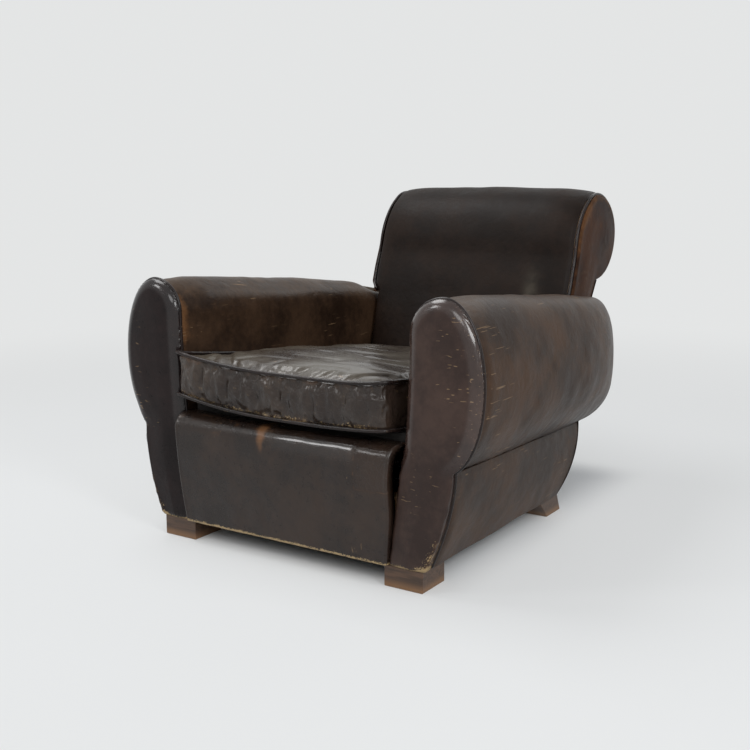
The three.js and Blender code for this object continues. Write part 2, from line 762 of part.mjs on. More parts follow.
add("seat_cushion", seatCushion(), leather);
add("cushion_piping_top", cushionPiping(CUSHION_THICKNESS - PIPING_RADIUS), leather);
add("cushion_piping_bottom", cushionPiping(PIPING_RADIUS), leather);

// Back

const BACK_FOOT_Z = deckTop(BACK_FOOT_Y) + TOUCH;
const BACK_PINCH_Z = BASE_Z + (BACK_CREST_Y - REAR_Y) / RAKE;
const BACK_PIPING_ROOM = 2 * PIPING_RADIUS + 3 * TOUCH;
const BACK_ROOM = BACK_HALF_WIDTH - 2 * SKIN - BACK_PIPING_ROOM; // leaves two skins for the side facing
const BACK_COVER_HALF = Math.min(DECK_HALF_WIDTH, BACK_ROOM); // it goes down between the arms
const BACK_SHOULDER_Z = fallen(armTop(BACK_HALF_WIDTH), BACK_FOOT_Y) + SLIP; // above the arms it is wider
const BACK_FACING_X = BACK_COVER_HALF + BACK_PIPING_ROOM;
const BACK_BOARD_X = BACK_COVER_HALF - BACK_BOARD;

// Front edge, from one height up to where it starts to round over.
function backFrontEdge(fromZ, count) {
  return Array.from({ length: count }, (_, i) => {
    const z = fromZ + ((BACK_FRONT_Z - fromZ) * i) / count;
    const height = (z - BACK_FOOT_Z) / (BACK_FRONT_Z - BACK_FOOT_Z);
    const lumbar = BACK_LUMBAR * Math.sin(Math.PI * height);
    return at(BACK_FOOT_Y + (BACK_FRONT_Y - BACK_FOOT_Y) * height - lumbar, z);
  });
}

// The roll, from its shoulder over the crest to the crease behind, or to a height above that crease.
function backRollEdge(fromZ) {
  const belowMiddle = (BACK_ROLL_Z - fromZ) / (BACK_ROLL_Z - BACK_PINCH_Z);
  const shoulder = new THREE.EllipseCurve(
    BACK_CREST_Y, BACK_FRONT_Z,
    BACK_CREST_Y - BACK_FRONT_Y, BACK_CREST_Z - BACK_FRONT_Z,
    Math.PI, Math.PI / 2, true);
  const over = new THREE.EllipseCurve(
    BACK_CREST_Y, BACK_ROLL_Z,
    BACK_ROLL_REACH, BACK_CREST_Z - BACK_ROLL_Z,
    Math.PI / 2, 0, true);
  const under = new THREE.EllipseCurve(
    BACK_CREST_Y, BACK_ROLL_Z,
    BACK_ROLL_REACH, BACK_ROLL_Z - BACK_PINCH_Z,
    0, -Math.asin(Math.min(belowMiddle, 1)), true);
  return [
    ...shoulder.getPoints(SHOULDER_STEPS),
    ...over.getPoints(CORNER_STEPS).slice(1),
    ...under.getPoints(CORNER_STEPS).slice(1),
  ];
}

// Open side outline of the back, from one height up the front and over the roll.
function backEdge(fromZ) {
  const count = fromZ > BACK_FOOT_Z ? SHORT_EDGE_STEPS : EDGE_STEPS;
  return [...backFrontEdge(fromZ, count), ...backRollEdge(fromZ)];
}

// The same, closed down the rake behind.
function backOutline(fromZ) {
  if (fromZ >= BACK_PINCH_Z) return backEdge(fromZ);
  const behind = [BACK_PINCH_Z, fromZ].map((z) => at(postBack(z), z));
  return [...backEdge(fromZ), ...behind];
}

// Place of a point of the side outline at a distance across: the top is higher in the middle, and the front
// lies further back at the sides.
function backPoint(x, y, z) {
  const share = Math.min(Math.abs(x) / BACK_HALF_WIDTH, 1);
  const full = Math.sqrt(1 - share ** BACK_CROWN_POWER);
  const high = clamp((z - BACK_FRONT_Z) / (BACK_CREST_Z - BACK_FRONT_Z), 0, 1);
  const behind = Math.min(postBack(z), BACK_CREST_Y);
  const front = clamp((behind - y) / BACK_SET_RUN, 0, 1);
  return new THREE.Vector3(x, y + BACK_SET * (1 - full) * front, z + BACK_CROWN * full * high);
}

// Carries a side outline across from one distance to another, with more rows near the corners.
function backLoft(outline, from, to, steps) {
  const middle = (from + to) / 2;
  const half = (to - from) / 2;
  return loft(outline, steps, (y, z, along) => {
    const eased = steps > 2 ? Math.sin((along - 0.5) * Math.PI) : 2 * along - 1;
    return backPoint(middle + half * eased, y, z);
  });
}

// Shaped board at each side of the back, thicker above the arms, where it carries the side facing.
function backSideBoard() {
  const outline = (fromZ, clear) => inset(backOutline(fromZ), SKIN + clear, true);
  const low = backLoft(outline(BACK_FOOT_Z, SLIP), BACK_BOARD_X, BACK_COVER_HALF - TOUCH, 2);
  const wing = outline(BACK_SHOULDER_Z, 3 * SLIP);
  const high = backLoft(wing, BACK_COVER_HALF - 3 * SLIP, BACK_FACING_X - TOUCH, 2);
  return low.add(high);
}

function backPiping() {
  const line = inset(backEdge(BACK_SHOULDER_Z + PIPING_RADIUS), PIPING_SEAT);
  const x = (BACK_COVER_HALF + BACK_FACING_X) / 2;
  const path = new Seam(line.map((p) => backPoint(x, p.x, p.y)));
  return solid(rod(path, PIPING_RADIUS, PIPING_SIDES, line.length - 1));
}

function backRail(y, z, spare = 0) {
  const half = BACK_BOARD_X - TOUCH + spare;
  const side = BACK_RAIL_SECTION / 2 + spare;
  return box(-half, half, y - side, y + side, z - side, z + side);
}

const stayRailY = postBack(BACK_STAY_RAIL_Z - BACK_RAIL_SECTION / 2) - BACK_RAIL_SECTION / 2 - 2 * SLIP;
const backTopRail = (spare) => backRail(BACK_CREST_Y, BACK_ROLL_Z, spare);
const backStayRail = (spare) => backRail(stayRailY, BACK_STAY_RAIL_Z, spare);

function backStuffing() {
  const half = BACK_BOARD_X - TOUCH;
  const whole = backLoft(inset(backOutline(BACK_FOOT_Z), SKIN + STUFFING_GAP, true), -half, half, BACK_ROWS);
  return whole.subtract(backTopRail(TOUCH)).subtract(backStayRail(TOUCH));
}

// Panel that covers the rear ends of the arms and of the back, up to the crease under the roll.
function outsideBack() {
  const crown = CORNER_STEPS;
  const armFront = [...rollEdge().slice(crown), ...outsideEdge().slice(1)].reverse();
  const armRear = armFront.map((p) => armPoint(p.x, armEnd(p.y), p.y)).map((p) => at(p.x, p.z));
  const right = [
    ...armRear,
    at(BACK_HALF_WIDTH, BACK_SHOULDER_Z),
    at(BACK_HALF_WIDTH, BACK_PINCH_Z - TOUCH),
  ];
  const left = right.map((p) => at(-p.x, p.y)).reverse();
  return loft([...right, ...left], 1, (x, z, along) => {
    return new THREE.Vector3(x, rearY(z) - SKIN * (1 - along), z);
  });
}

function backCover() {
  return backLoft(skin(backEdge(BACK_FOOT_Z)), -BACK_COVER_HALF, BACK_COVER_HALF, BACK_ROWS);
}

function backSideFacing() {
  return backLoft(backOutline(BACK_SHOULDER_Z), BACK_FACING_X, BACK_HALF_WIDTH, 2);
}

add("back_cover", backCover(), leather);
addPair("back_side_facing", backSideFacing(), leatherRed);
addPair("back_piping", backPiping(), leather);
addPair("back_side_board", backSideBoard(), beech);
add("back_top_rail", backTopRail(0), beech);
add("back_stay_rail", backStayRail(0), beech);
add("back_stuffing", backStuffing(), hair);
add("outside_back", outsideBack(), leather);

export default chair;
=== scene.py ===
import json
import math

import bmesh
import bpy
import numpy as np
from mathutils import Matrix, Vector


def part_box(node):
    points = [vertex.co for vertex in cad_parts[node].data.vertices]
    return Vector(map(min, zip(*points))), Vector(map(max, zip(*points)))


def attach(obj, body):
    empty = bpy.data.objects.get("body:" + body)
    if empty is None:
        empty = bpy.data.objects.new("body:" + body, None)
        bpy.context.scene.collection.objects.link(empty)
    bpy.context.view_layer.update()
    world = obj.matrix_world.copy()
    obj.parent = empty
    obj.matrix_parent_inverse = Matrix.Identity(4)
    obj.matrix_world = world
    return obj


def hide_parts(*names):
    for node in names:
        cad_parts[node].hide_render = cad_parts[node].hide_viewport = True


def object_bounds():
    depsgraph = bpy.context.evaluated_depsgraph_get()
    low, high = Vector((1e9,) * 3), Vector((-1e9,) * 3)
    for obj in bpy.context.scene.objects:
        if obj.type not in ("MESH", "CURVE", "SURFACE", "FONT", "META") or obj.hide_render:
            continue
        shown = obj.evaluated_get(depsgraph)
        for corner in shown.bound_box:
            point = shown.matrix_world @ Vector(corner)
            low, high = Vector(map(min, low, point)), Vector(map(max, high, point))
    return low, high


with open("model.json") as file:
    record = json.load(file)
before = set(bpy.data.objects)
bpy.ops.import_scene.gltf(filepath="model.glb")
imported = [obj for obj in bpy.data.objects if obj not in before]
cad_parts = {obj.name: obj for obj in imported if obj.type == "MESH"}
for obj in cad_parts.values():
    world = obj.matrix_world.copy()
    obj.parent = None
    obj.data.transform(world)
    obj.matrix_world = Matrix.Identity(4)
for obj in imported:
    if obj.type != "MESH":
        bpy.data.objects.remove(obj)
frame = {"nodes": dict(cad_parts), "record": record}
cad_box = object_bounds()

# Camera, floor and light
# The camera stands where the photograph was taken from, to the right of the chair and a little higher.
# The pale floor glows into the backdrop away from the chair, and five soft panels light the chair.
CAMERA_PLACE = (1.3713, -2.2794, 0.8141)
CAMERA_TURN = (math.radians(79.531), 0.0, math.radians(33.124))
CAMERA_LENS = 52.16
BACKDROP = (0.775, 0.785, 0.785, 1.0)
BACKDROP_RAYS = ("Is Camera Ray", "Is Glossy Ray", "Is Transmission Ray")
ROOM_FILL = (0.16, 0.165, 0.175, 1.0)
FLOOR = (0.87, 0.89, 0.90, 1.0)
FLOOR_REACH = 14.0
FLOOR_FADE = (0.8, 3.6)
FLOOR_GLOW = 0.62
UNDER_CHAIR_X = (0.26, 0.44)
UNDER_CHAIR_Y = (0.44, 0.62)
LAMP_AIM = (0.0, 0.0, 0.3)


class Wire:
    """One value on its way through a material: arithmetic on it adds Math nodes."""

    def __init__(self, paint, socket):
        self.paint = paint
        self.socket = socket

    def _join(self, operation, first, second):
        return self.paint.node("ShaderNodeMath", {"operation": operation}, {0: first, 1: second})

    def __add__(self, other):
        return self._join("ADD", self, other)

    def __radd__(self, other):
        return self._join("ADD", other, self)

    def __sub__(self, other):
        return self._join("SUBTRACT", self, other)

    def __rsub__(self, other):
        return self._join("SUBTRACT", other, self)

    def __mul__(self, other):
        return self._join("MULTIPLY", self, other)

    def __rmul__(self, other):
        return self._join("MULTIPLY", other, self)


class Paint:
    """A material under construction: node() adds any node, the other methods are short forms of it."""

    def __init__(self, name):
        self.material = bpy.data.materials.new(name)
        self.material.use_nodes = True
        self.tree = self.material.node_tree
        self.surface = self.tree.nodes["Principled BSDF"]
        self.place = self.node("ShaderNodeTexCoord", {}, {}, "Object")

    def set(self, socket, value):
        """Links a wire to a socket, or writes a plain value on it."""
        if isinstance(value, Wire):
            self.tree.links.new(value.socket, socket)
        else:
            socket.default_value = value

    def node(self, kind, settings, inputs, output=0):
        """Adds a node with its settings and its sockets' values or wires, and passes one output on."""
        made = self.tree.nodes.new(kind)
        for key, value in settings.items():
            setattr(made, key, value)
        for key, value in inputs.items():
            self.set(made.inputs[key], value)
        return Wire(self, made.outputs[output])

    def stretched(self, scale, where=None):
        """Coordinates multiplied by a vector, so that a pattern gets longer along some axes."""
        inputs = {0: where or self.place, 1: scale}
        return self.node("ShaderNodeVectorMath", {"operation": "MULTIPLY"}, inputs)

    def noise(self, scale, detail, where=None):
        """Cloudy pattern from 0 to 1, with about this many spots to the metre."""
        inputs = {"Vector": where or self.place, "Scale": scale, "Detail": detail, "Roughness": 0.55}
        return self.node("ShaderNodeTexNoise", {}, inputs)

    def cells(self, scale, where=None):
        """Distance to the nearest edge between irregular cells."""
        inputs = {"Vector": where or self.place, "Scale": scale}
        return self.node("ShaderNodeTexVoronoi", {"feature": "DISTANCE_TO_EDGE"}, inputs)

    def step(self, value, low, high):
        """0 below low, 1 above high and a smooth step between."""
        settings = {"interpolation_type": "SMOOTHSTEP"}
        return self.node("ShaderNodeMapRange", settings, {0: value, 1: low, 2: high})

    def blend(self, factor, first, second):
        """Mix of two colours."""
        return self.node("ShaderNodeMix", {"data_type": "RGBA"}, {0: factor, 6: first, 7: second}, 2)

    def axis_beyond(self, axis, low, high):
        """0 near the middle plane of an axis and 1 further away from it on both sides."""
        value = self.node("ShaderNodeSeparateXYZ", {}, {0: self.place}, axis)
        return self.step(self.node("ShaderNodeMath", {"operation": "ABSOLUTE"}, {0: value}), low, high)

    def painted(self, name):
        """Value that the mesh carries at each corner under this name."""
        return self.node("ShaderNodeAttribute", {"attribute_name": name}, {}, "Fac")

    def relief(self, height):
        """Bump from a height in metres."""
        wire = self.node("ShaderNodeBump", {}, {"Strength": 1.0, "Distance": 1.0, "Height": height})
        self.set(self.surface.inputs["Normal"], wire)

    def finish(self, **sockets):
        """Sets sockets of the surface shader: an underscore stands for a space in the name."""
        for name, value in sockets.items():
            self.set(self.surface.inputs[name.replace("_", " ")], value)
        return self.material


camera = bpy.data.objects.new("camera", bpy.data.cameras.new("camera"))
camera.location = CAMERA_PLACE
camera.rotation_euler = CAMERA_TURN
camera.data.lens = CAMERA_LENS
bpy.context.collection.objects.link(camera)
bpy.context.scene.camera = camera


def floor_material():
    """Pale floor that takes shadows near the chair and turns into the backdrop's colour further out."""
    paint = Paint("studio_floor")
    distance = paint.node("ShaderNodeVectorMath", {"operation": "LENGTH"}, {0: paint.place}, "Value")
    rays = [paint.node("ShaderNodeLightPath", {}, {}, ray) for ray in BACKDROP_RAYS]
    seen = rays[0] + rays[1] + rays[2]
    beside = paint.axis_beyond("X", *UNDER_CHAIR_X)
    before = paint.axis_beyond("Y", *UNDER_CHAIR_Y)
    clear = beside + before - beside * before
    far = (paint.step(distance, *FLOOR_FADE) * (1.0 - FLOOR_GLOW) + FLOOR_GLOW) * clear * seen
    paint.finish(Base_Color=FLOOR, Roughness=0.7)
    glow = paint.tree.nodes.new("ShaderNodeEmission")
    glow.inputs["Color"].default_value = BACKDROP
    mixed = paint.tree.nodes.new("ShaderNodeMixShader")
    paint.set(mixed.inputs[0], far)
    paint.tree.links.new(paint.surface.outputs[0], mixed.inputs[1])
    paint.tree.links.new(glow.outputs[0], mixed.inputs[2])
    output = paint.tree.nodes["Material Output"]
    paint.tree.links.new(mixed.outputs[0], output.inputs["Surface"])
    return paint.material


floor_mesh = bpy.data.meshes.new("floor")
reach = FLOOR_REACH
floor_corners = [(-reach, -reach, 0), (reach, -reach, 0), (reach, reach, 0), (-reach, reach, 0)]
floor_mesh.from_pydata(floor_corners, [], [(0, 1, 2, 3)])
floor_mesh.materials.append(floor_material())
floor = bpy.data.objects.new("floor", floor_mesh)
bpy.context.collection.objects.link(floor)

world = bpy.data.worlds.new("studio")
world.use_nodes = True
bpy.context.scene.world = world
sky = world.node_tree.nodes["Background"]
sky_mix = world.node_tree.nodes.new("ShaderNodeMix")
sky_mix.data_type = "RGBA"
sky_mix.inputs[6].default_value = ROOM_FILL
sky_mix.inputs[7].default_value = BACKDROP
sky_path = world.node_tree.nodes.new("ShaderNodeLightPath")
sky_seen = sky_path.outputs[BACKDROP_RAYS[0]]
for ray in BACKDROP_RAYS[1:]:
    either = world.node_tree.nodes.new("ShaderNodeMath")
    world.node_tree.links.new(sky_seen, either.inputs[0])
    world.node_tree.links.new(sky_path.outputs[ray], either.inputs[1])
    sky_seen = either.outputs[0]
world.node_tree.links.new(sky_seen, sky_mix.inputs[0])
world.node_tree.links.new(sky_mix.outputs[2], sky.inputs["Color"])


def softbox(name, place, size, power, aim=LAMP_AIM):
    """Rectangular lamp that faces its aim."""
    lamp = bpy.data.lights.new(name, "AREA")
    lamp.shape = "RECTANGLE"
    lamp.size, lamp.size_y = size
    lamp.energy = power
    holder = bpy.data.objects.new(name, lamp)
    direction = np.array(aim) - np.array(place)
    tilt = math.atan2(math.hypot(direction[0], direction[1]), -direction[2])
    holder.location = place
    holder.rotation_euler = (tilt, 0.0, math.atan2(direction[0], -direction[1]) + math.pi)
    bpy.context.collection.objects.link(holder)


softbox("overhead_softbox", (-1.2, -0.3, 2.8), (1.8, 1.2), 42)
softbox("rear_panel", (0.6, 2.8, 2.6), (2.4, 1.2), 14)
softbox("front_panel", (1.6, -3.4, 2.6), (1.6, 1.2), 30)
softbox("side_panel", (2.8, -1.6, 2.0), (0.9, 1.2), 42, (0.2, 0.0, 0.3))
softbox("low_front_panel", (-1.5, -2.3, 2.1), (0.6, 0.6), 13)
bpy.context.scene.view_settings.view_transform = "Standard"

# Arm fronts
# Each arm ends in front in a flat leather pad on a shaped board: straight below, a tall roll above. Its rim
# is rounded over wadding, and a piping is sewn between it and the arm's hide.
front_low, front_high = np.array(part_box("arm_facing_right"))
FRONT_Y = front_low[1]
BASE_Z = front_low[2]
ARM_HEIGHT = front_high[2]
ARM_INNER_BASE = front_low[0]
ARM_INNER_TOP = 0.300
ARM_CORNER = 0.072
ARM_ROLL_X = 0.372
ARM_ROLL_WIDTH = 0.088
ARM_ROLL_HALF_HEIGHT = 0.172
ARM_PINCH_X = 0.401
ARM_OUTER_BASE = 0.348
ARM_OUTER_BELLY = 0.085
INNER_CURVE = 1.6
ROLL_Z = ARM_HEIGHT - ARM_ROLL_HALF_HEIGHT
CORNER_Z = ARM_HEIGHT - ARM_CORNER
PINCH_ANGLE = -math.acos((ARM_PINCH_X - ARM_ROLL_X) / ARM_ROLL_WIDTH)
PINCH_Z = ROLL_Z + ARM_ROLL_HALF_HEIGHT * math.sin(PINCH_ANGLE)
FACING_DEPTH = front_high[1] - front_low[1]
FACING_RIM = 0.024
FACING_FLATNESS = 0.22
FACING_LOW_RIM = 0.005
FACING_HEM = 0.004
FACING_PUFF = 0.004
FACING_LEAN = 0.009
FACING_WAVE = 0.0012
FACING_GRID = (150, 70)
OUTLINE_POINTS = 420
PIPING_RADIUS = 0.004
PIPING_SIDES = 10
PIPING_PROUD = 0.0012
TOUCH = 0.0003
SIDES = (("right", 1), ("left", -1))

LEATHER_TAN = (0.170, 0.080, 0.034, 1.0)
LEATHER_RAW = (0.460, 0.330, 0.170, 1.0)
LEATHER_SCRATCH = (0.240, 0.155, 0.085, 1.0)
# Pale grey-brown: real dust on the tops of the arms and the cushion, and the painted highlight of the pale
# smear on the back.
LEATHER_DUST_AND_SHEEN = (0.090, 0.078, 0.060, 1.0)


def noise(points, size, seed):
    """Smooth noise from -1 to 1: random values on a lattice of that size, eased between its corners."""
    lattice = np.asarray(points) / size
    cell = np.floor(lattice).astype(np.int64)
    part = lattice - cell
    part = part * part * (3 - 2 * part)
    total = np.zeros(lattice.shape[:-1])
    for corner in np.ndindex(2, 2, 2):
        index = cell + corner
        mixed = index[..., 0] * 73856093 ^ index[..., 1] * 19349663
        mixed = mixed ^ index[..., 2] * 83492791 ^ seed * 2654435
        mixed = (mixed ^ (mixed >> 13)) * 1274126177 & 0xFFFFFFFF
        mixed = (mixed ^ (mixed >> 16)) & 0xFFFF
        weight = np.prod(np.where(np.array(corner) == 1, part, 1 - part), axis=-1)
        total += weight * mixed / 0xFFFF
    return 2 * total - 1


def points_at(*coordinates):
    """Arrays of coordinates joined into one array of points."""
    return np.stack(coordinates, axis=-1)


def smooth(value, low, high):
    """0 below low, 1 above high and a smooth step between."""
    t = np.clip((value - low) / (high - low), 0, 1)
    return t * t * (3 - 2 * t)


def unit(vectors):
    """Each vector divided by its length."""
    return vectors / np.linalg.norm(vectors, axis=-1, keepdims=True)


def quads(index):
    """Four vertex numbers for each cell of a grid of vertex numbers."""
    corners = [index[:-1, :-1], index[:-1, 1:], index[1:, 1:], index[1:, :-1]]
    return np.stack(corners, axis=-1).reshape(-1, 4)


def write_values(mesh, values):
    """Stores a number for each vertex under each name, for the material to read."""
    for key, array in values.items():
        numbers = np.asarray(array, "f").ravel()
        mesh.attributes.new(key, "FLOAT", "POINT").data.foreach_set("value", numbers)


def stand_for(piece, node):
    """Lets a piece ride on the chair's one body in place of a CAD node."""
    bpy.context.collection.objects.link(piece)
    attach(piece, "root")
    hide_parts(node)


def make_piece(name, vertices, faces, material, node, values):
    """Mesh object from arrays, with its faces turned outwards."""
    mesh = bpy.data.meshes.new(name)
    mesh.from_pydata(np.asarray(vertices).reshape(-1, 3).tolist(), [], [list(face) for face in faces])
    write_values(mesh, values)
    work = bmesh.new()
    work.from_mesh(mesh)
    bmesh.ops.recalc_face_normals(work, faces=work.faces)
    work.to_mesh(mesh)
    work.free()
    mesh.polygons.foreach_set("use_smooth", np.full(len(mesh.polygons), True))
    mesh.materials.append(material)
    piece = bpy.data.objects.new(name, mesh)
    stand_for(piece, node)
    return piece


def slab(name, outer, inner, material, node, values, sign=1):
    """Closed piece between two grids of points: both faces and a wall along the four edges."""
    rows, columns = outer.shape[:2]
    count = rows * columns
    index = np.arange(count).reshape(rows, columns)
    ring = np.concatenate([index[0, :-1], index[:-1, -1], index[-1, :0:-1], index[:0:-1, 0]])
    after = np.roll(ring, -1)
    wall = points_at(ring, ring + count, after + count, after)
    faces = [*quads(index), *quads(index + count)[:, ::-1], *wall]
    vertices = np.concatenate([outer.reshape(-1, 3), inner.reshape(-1, 3)]) * np.array([sign, 1, 1])
    both = {key: np.concatenate([array.ravel(), array.ravel()]) for key, array in values.items()}
    return make_piece(name, vertices, faces, material, node, both)


def outward(grid, hint):
    """Unit normals of a grid of points, on the side that the hint vector points to."""
    along = np.gradient(grid, axis=0)
    across = np.gradient(grid, axis=1)
    normal = np.cross(along, across)
    normal /= np.linalg.norm(normal, axis=-1, keepdims=True) + 1e-12
    return normal * np.sign(np.sum(normal * hint, axis=-1, keepdims=True) + 1e-9)


def piping(name, path, flat_normal, node, closed=False):
    """Round cord sewn along a path: rings of points that stand square to the path, with closed ends."""
    heading = np.gradient(path, axis=0)
    if closed:
        heading = np.roll(path, -1, axis=0) - np.roll(path, 1, axis=0)
    heading = unit(heading)
    side = unit(np.cross(heading, np.broadcast_to(np.array(flat_normal, float), path.shape)))
    up = np.cross(side, heading)
    angle = np.linspace(0, 2 * np.pi, PIPING_SIDES, endpoint=False)[:, None]
    around = np.cos(angle) * side[:, None] + np.sin(angle) * up[:, None]
    index = np.arange(len(path) * PIPING_SIDES).reshape(len(path), PIPING_SIDES)
    rows = np.concatenate([index, index[:1]]) if closed else index
    rows = np.concatenate([rows, rows[:, :1]], axis=1)
    faces = list(quads(rows)) if closed else [*quads(rows), index[0], index[-1]]
    make_piece(name, path[:, None] + PIPING_RADIUS * around, faces, piping_leather, node, {})


def leather(name, dark, brown, scratch=(12.0, 260.0, 260.0), rough=0.36, folds=1.0,
            wrinkle_run=(1.0, 1.0, 1.0), coat=0.08, spared=0.50, specular=0.22):
    """Old glazed leather: mottled brown, rubbed to tan where the mesh says worn, raw where it says bare.

    Scratches run along the axis with the smallest scratch number, and spared is how much hide has none.
    Height adds pores, cracks, wrinkles and clouds; roughness rises where the glaze is rubbed off.
    """
    paint = Paint(name)
    names = ("worn", "bare", "creased", "dust_and_sheen", "polished", "scarred")
    worn, bare, creased, dust_and_sheen, polished, scarred = (paint.painted(key) for key in names)
    cloudy = paint.noise(7.0, 4.0)
    mottled = paint.noise(60.0, 3.0)
    fine = paint.noise(420.0, 2.0)
    rubbed = paint.step(worn + (mottled - 0.5) * 0.7 + (cloudy - 0.5) * 0.5, 0.25, 0.95)
    streaks = paint.noise(1.0, 1.0, paint.stretched(scratch))
    where = paint.noise(9.0, 2.0)
    scratched = paint.step(streaks, 0.700, 0.722) * paint.step(where + scarred * 0.3, spared, spared + 0.10)
    speckled = paint.step(bare + (fine - 0.5) * 1.6 + (mottled - 0.5) * 1.0, 0.62, 0.74)
    colour = paint.blend(paint.step(cloudy + (mottled - 0.5) * 0.3, 0.35, 0.7), dark, brown)
    # Blended towards a pale grey-brown by a painted value: real dust on the tops of the arms and the cushion,
    # and on the back a painted highlight, a pale smear in place of a reflection.
    colour = paint.blend(dust_and_sheen * paint.step(cloudy + mottled * 0.2, 0.35, 0.95), colour, LEATHER_DUST_AND_SHEEN)
    colour = paint.blend(rubbed, colour, LEATHER_TAN)
    colour = paint.blend(scratched * 0.75, colour, LEATHER_SCRATCH)
    colour = paint.blend(speckled * 0.85, colour, LEATHER_RAW)
    drift = paint.node("ShaderNodeTexNoise", {}, {"Vector": paint.place, "Scale": 14.0}, "Color")
    drift = paint.node("ShaderNodeVectorMath", {"operation": "SCALE"}, {0: drift, "Scale": 0.03})
    warped = paint.node("ShaderNodeVectorMath", {"operation": "ADD"}, {0: paint.place, 1: drift})
    cracks = 1.0 - paint.step(paint.cells(58.0, warped), 0.0, 0.05)
    pores = paint.step(paint.cells(620.0), 0.0, 0.25)
    ridge = paint.noise(26.0, 3.0, paint.stretched(wrinkle_run, warped))
    wrinkles = paint.node("ShaderNodeMath", {"operation": "ABSOLUTE"}, {0: ridge * 2.0 - 1.0})
    height = pores * 0.00005 + fine * 0.00005 - cracks * creased * 0.0005
    height = height + wrinkles * (creased * 0.004 * folds + 0.0004) + cloudy * 0.0012 - speckled * 0.0003
    paint.relief(height)
    roughness = rough + (mottled - 0.5) * 0.18 + rubbed * 0.12 + speckled * 0.3 + (cloudy - 0.5) * 0.12
    glaze = coat + polished * 0.6
    paint.finish(Specular_IOR_Level=specular, Coat_Roughness=0.13)
    return paint.finish(Base_Color=colour, Roughness=roughness - polished * 0.10, Coat_Weight=glaze)


facing_leather = leather("arm_front_leather", (0.028, 0.0155, 0.0125, 1.0), (0.060, 0.0350, 0.0270, 1.0),
                         scratch=(45.0, 260.0, 260.0), rough=0.34)
# Painted shade: the left pad's leather is a darker, less glossy copy of the right pad's, standing in for the
# shade that falls on it.
shaded_facing_leather = leather(
    "left_arm_front_painted_shade_leather", (0.011, 0.0075, 0.0075, 1.0), (0.021, 0.0130, 0.0125, 1.0),
    scratch=(45.0, 260.0, 260.0), rough=0.30, spared=0.6, specular=0.12)
piping_leather = leather("piping_leather", (0.012, 0.008, 0.007, 1.0), (0.019, 0.0105, 0.009, 1.0), rough=0.3)


def arc(middle, radii, start, end, count):
    """Points of an ellipse between two angles."""
    angle = np.linspace(start, end, count)
    return points_at(middle[0] + radii[0] * np.cos(angle), middle[1] + radii[1] * np.sin(angle))


def curve(first, pull, last, count):
    """Points of a curve that leaves the first point towards a pull point and comes from there to the last."""
    t = np.linspace(0, 1, count)[:, None]
    return (1 - t) ** 2 * np.array(first) + 2 * t * (1 - t) * np.array(pull) + t ** 2 * np.array(last)


def spaced(line, count):
    """The same line with points at equal distances."""
    length = np.concatenate([[0], np.cumsum(np.linalg.norm(np.diff(line, axis=0), axis=1))])
    target = np.linspace(0, length[-1], count)
    return np.stack([np.interp(target, length, line[:, k]) for k in range(line.shape[1])], axis=-1)


def inner_x(z):
    """Distance of the arm's inner edge from the chair's middle: it bulges inwards towards the floor."""
    height = np.clip((z - BASE_Z) / (CORNER_Z - BASE_Z), 0, 1)
    return ARM_INNER_TOP - (ARM_INNER_TOP - ARM_INNER_BASE) * (1 - height) ** INNER_CURVE


def inner_line(from_z):
    """Points of the inner edge from a height up to the roll's corner."""
    z = np.linspace(from_z, CORNER_Z, 60)
    return points_at(inner_x(z), z)


corner_line = arc((ARM_ROLL_X, CORNER_Z), (ARM_ROLL_X - ARM_INNER_TOP, ARM_CORNER), np.pi, np.pi / 2, 40)
roll_line = arc((ARM_ROLL_X, ROLL_Z), (ARM_ROLL_WIDTH, ARM_ROLL_HALF_HEIGHT), np.pi / 2, PINCH_ANGLE, 100)
outside_line = curve(
    (ARM_PINCH_X, PINCH_Z), (ARM_PINCH_X, PINCH_Z - ARM_OUTER_BELLY), (ARM_OUTER_BASE, BASE_Z), 50)
arm_outline = np.concatenate([inner_line(BASE_Z), corner_line[1:], roll_line[1:], outside_line[1:]])


def between(left, right, heights, columns):
    """Grid of points from a left line to a right line at each height, closer together near both."""
    share = (1 - np.cos(np.linspace(0, np.pi, columns))) / 2
    left_x = np.interp(heights, left[:, 1], left[:, 0])
    right_x = np.interp(heights, right[:, 1], right[:, 0])
    x = left_x[:, None] + (right_x - left_x)[:, None] * share
    return x, np.broadcast_to(heights[:, None], x.shape)


def edge_distance(x, z, outline):
    """Distance of each point of a flat grid to the nearest point of an outline."""
    flat = points_at(x, z)[..., None, :] - outline
    return np.sqrt(np.min(np.sum(flat ** 2, axis=-1), axis=-1))


def rounded(distance, radius):
    """How far a surface falls back at a distance from its edge when the edge is a quarter round."""
    inside = radius - np.minimum(distance, radius)
    return radius - np.sqrt(radius ** 2 - inside ** 2)


def crowded(low, high, count):
    """Heights from low to high that get closer together near the top."""
    return low + (high - low) * (1 - (1 - np.linspace(0, 1, count)) ** 1.7)


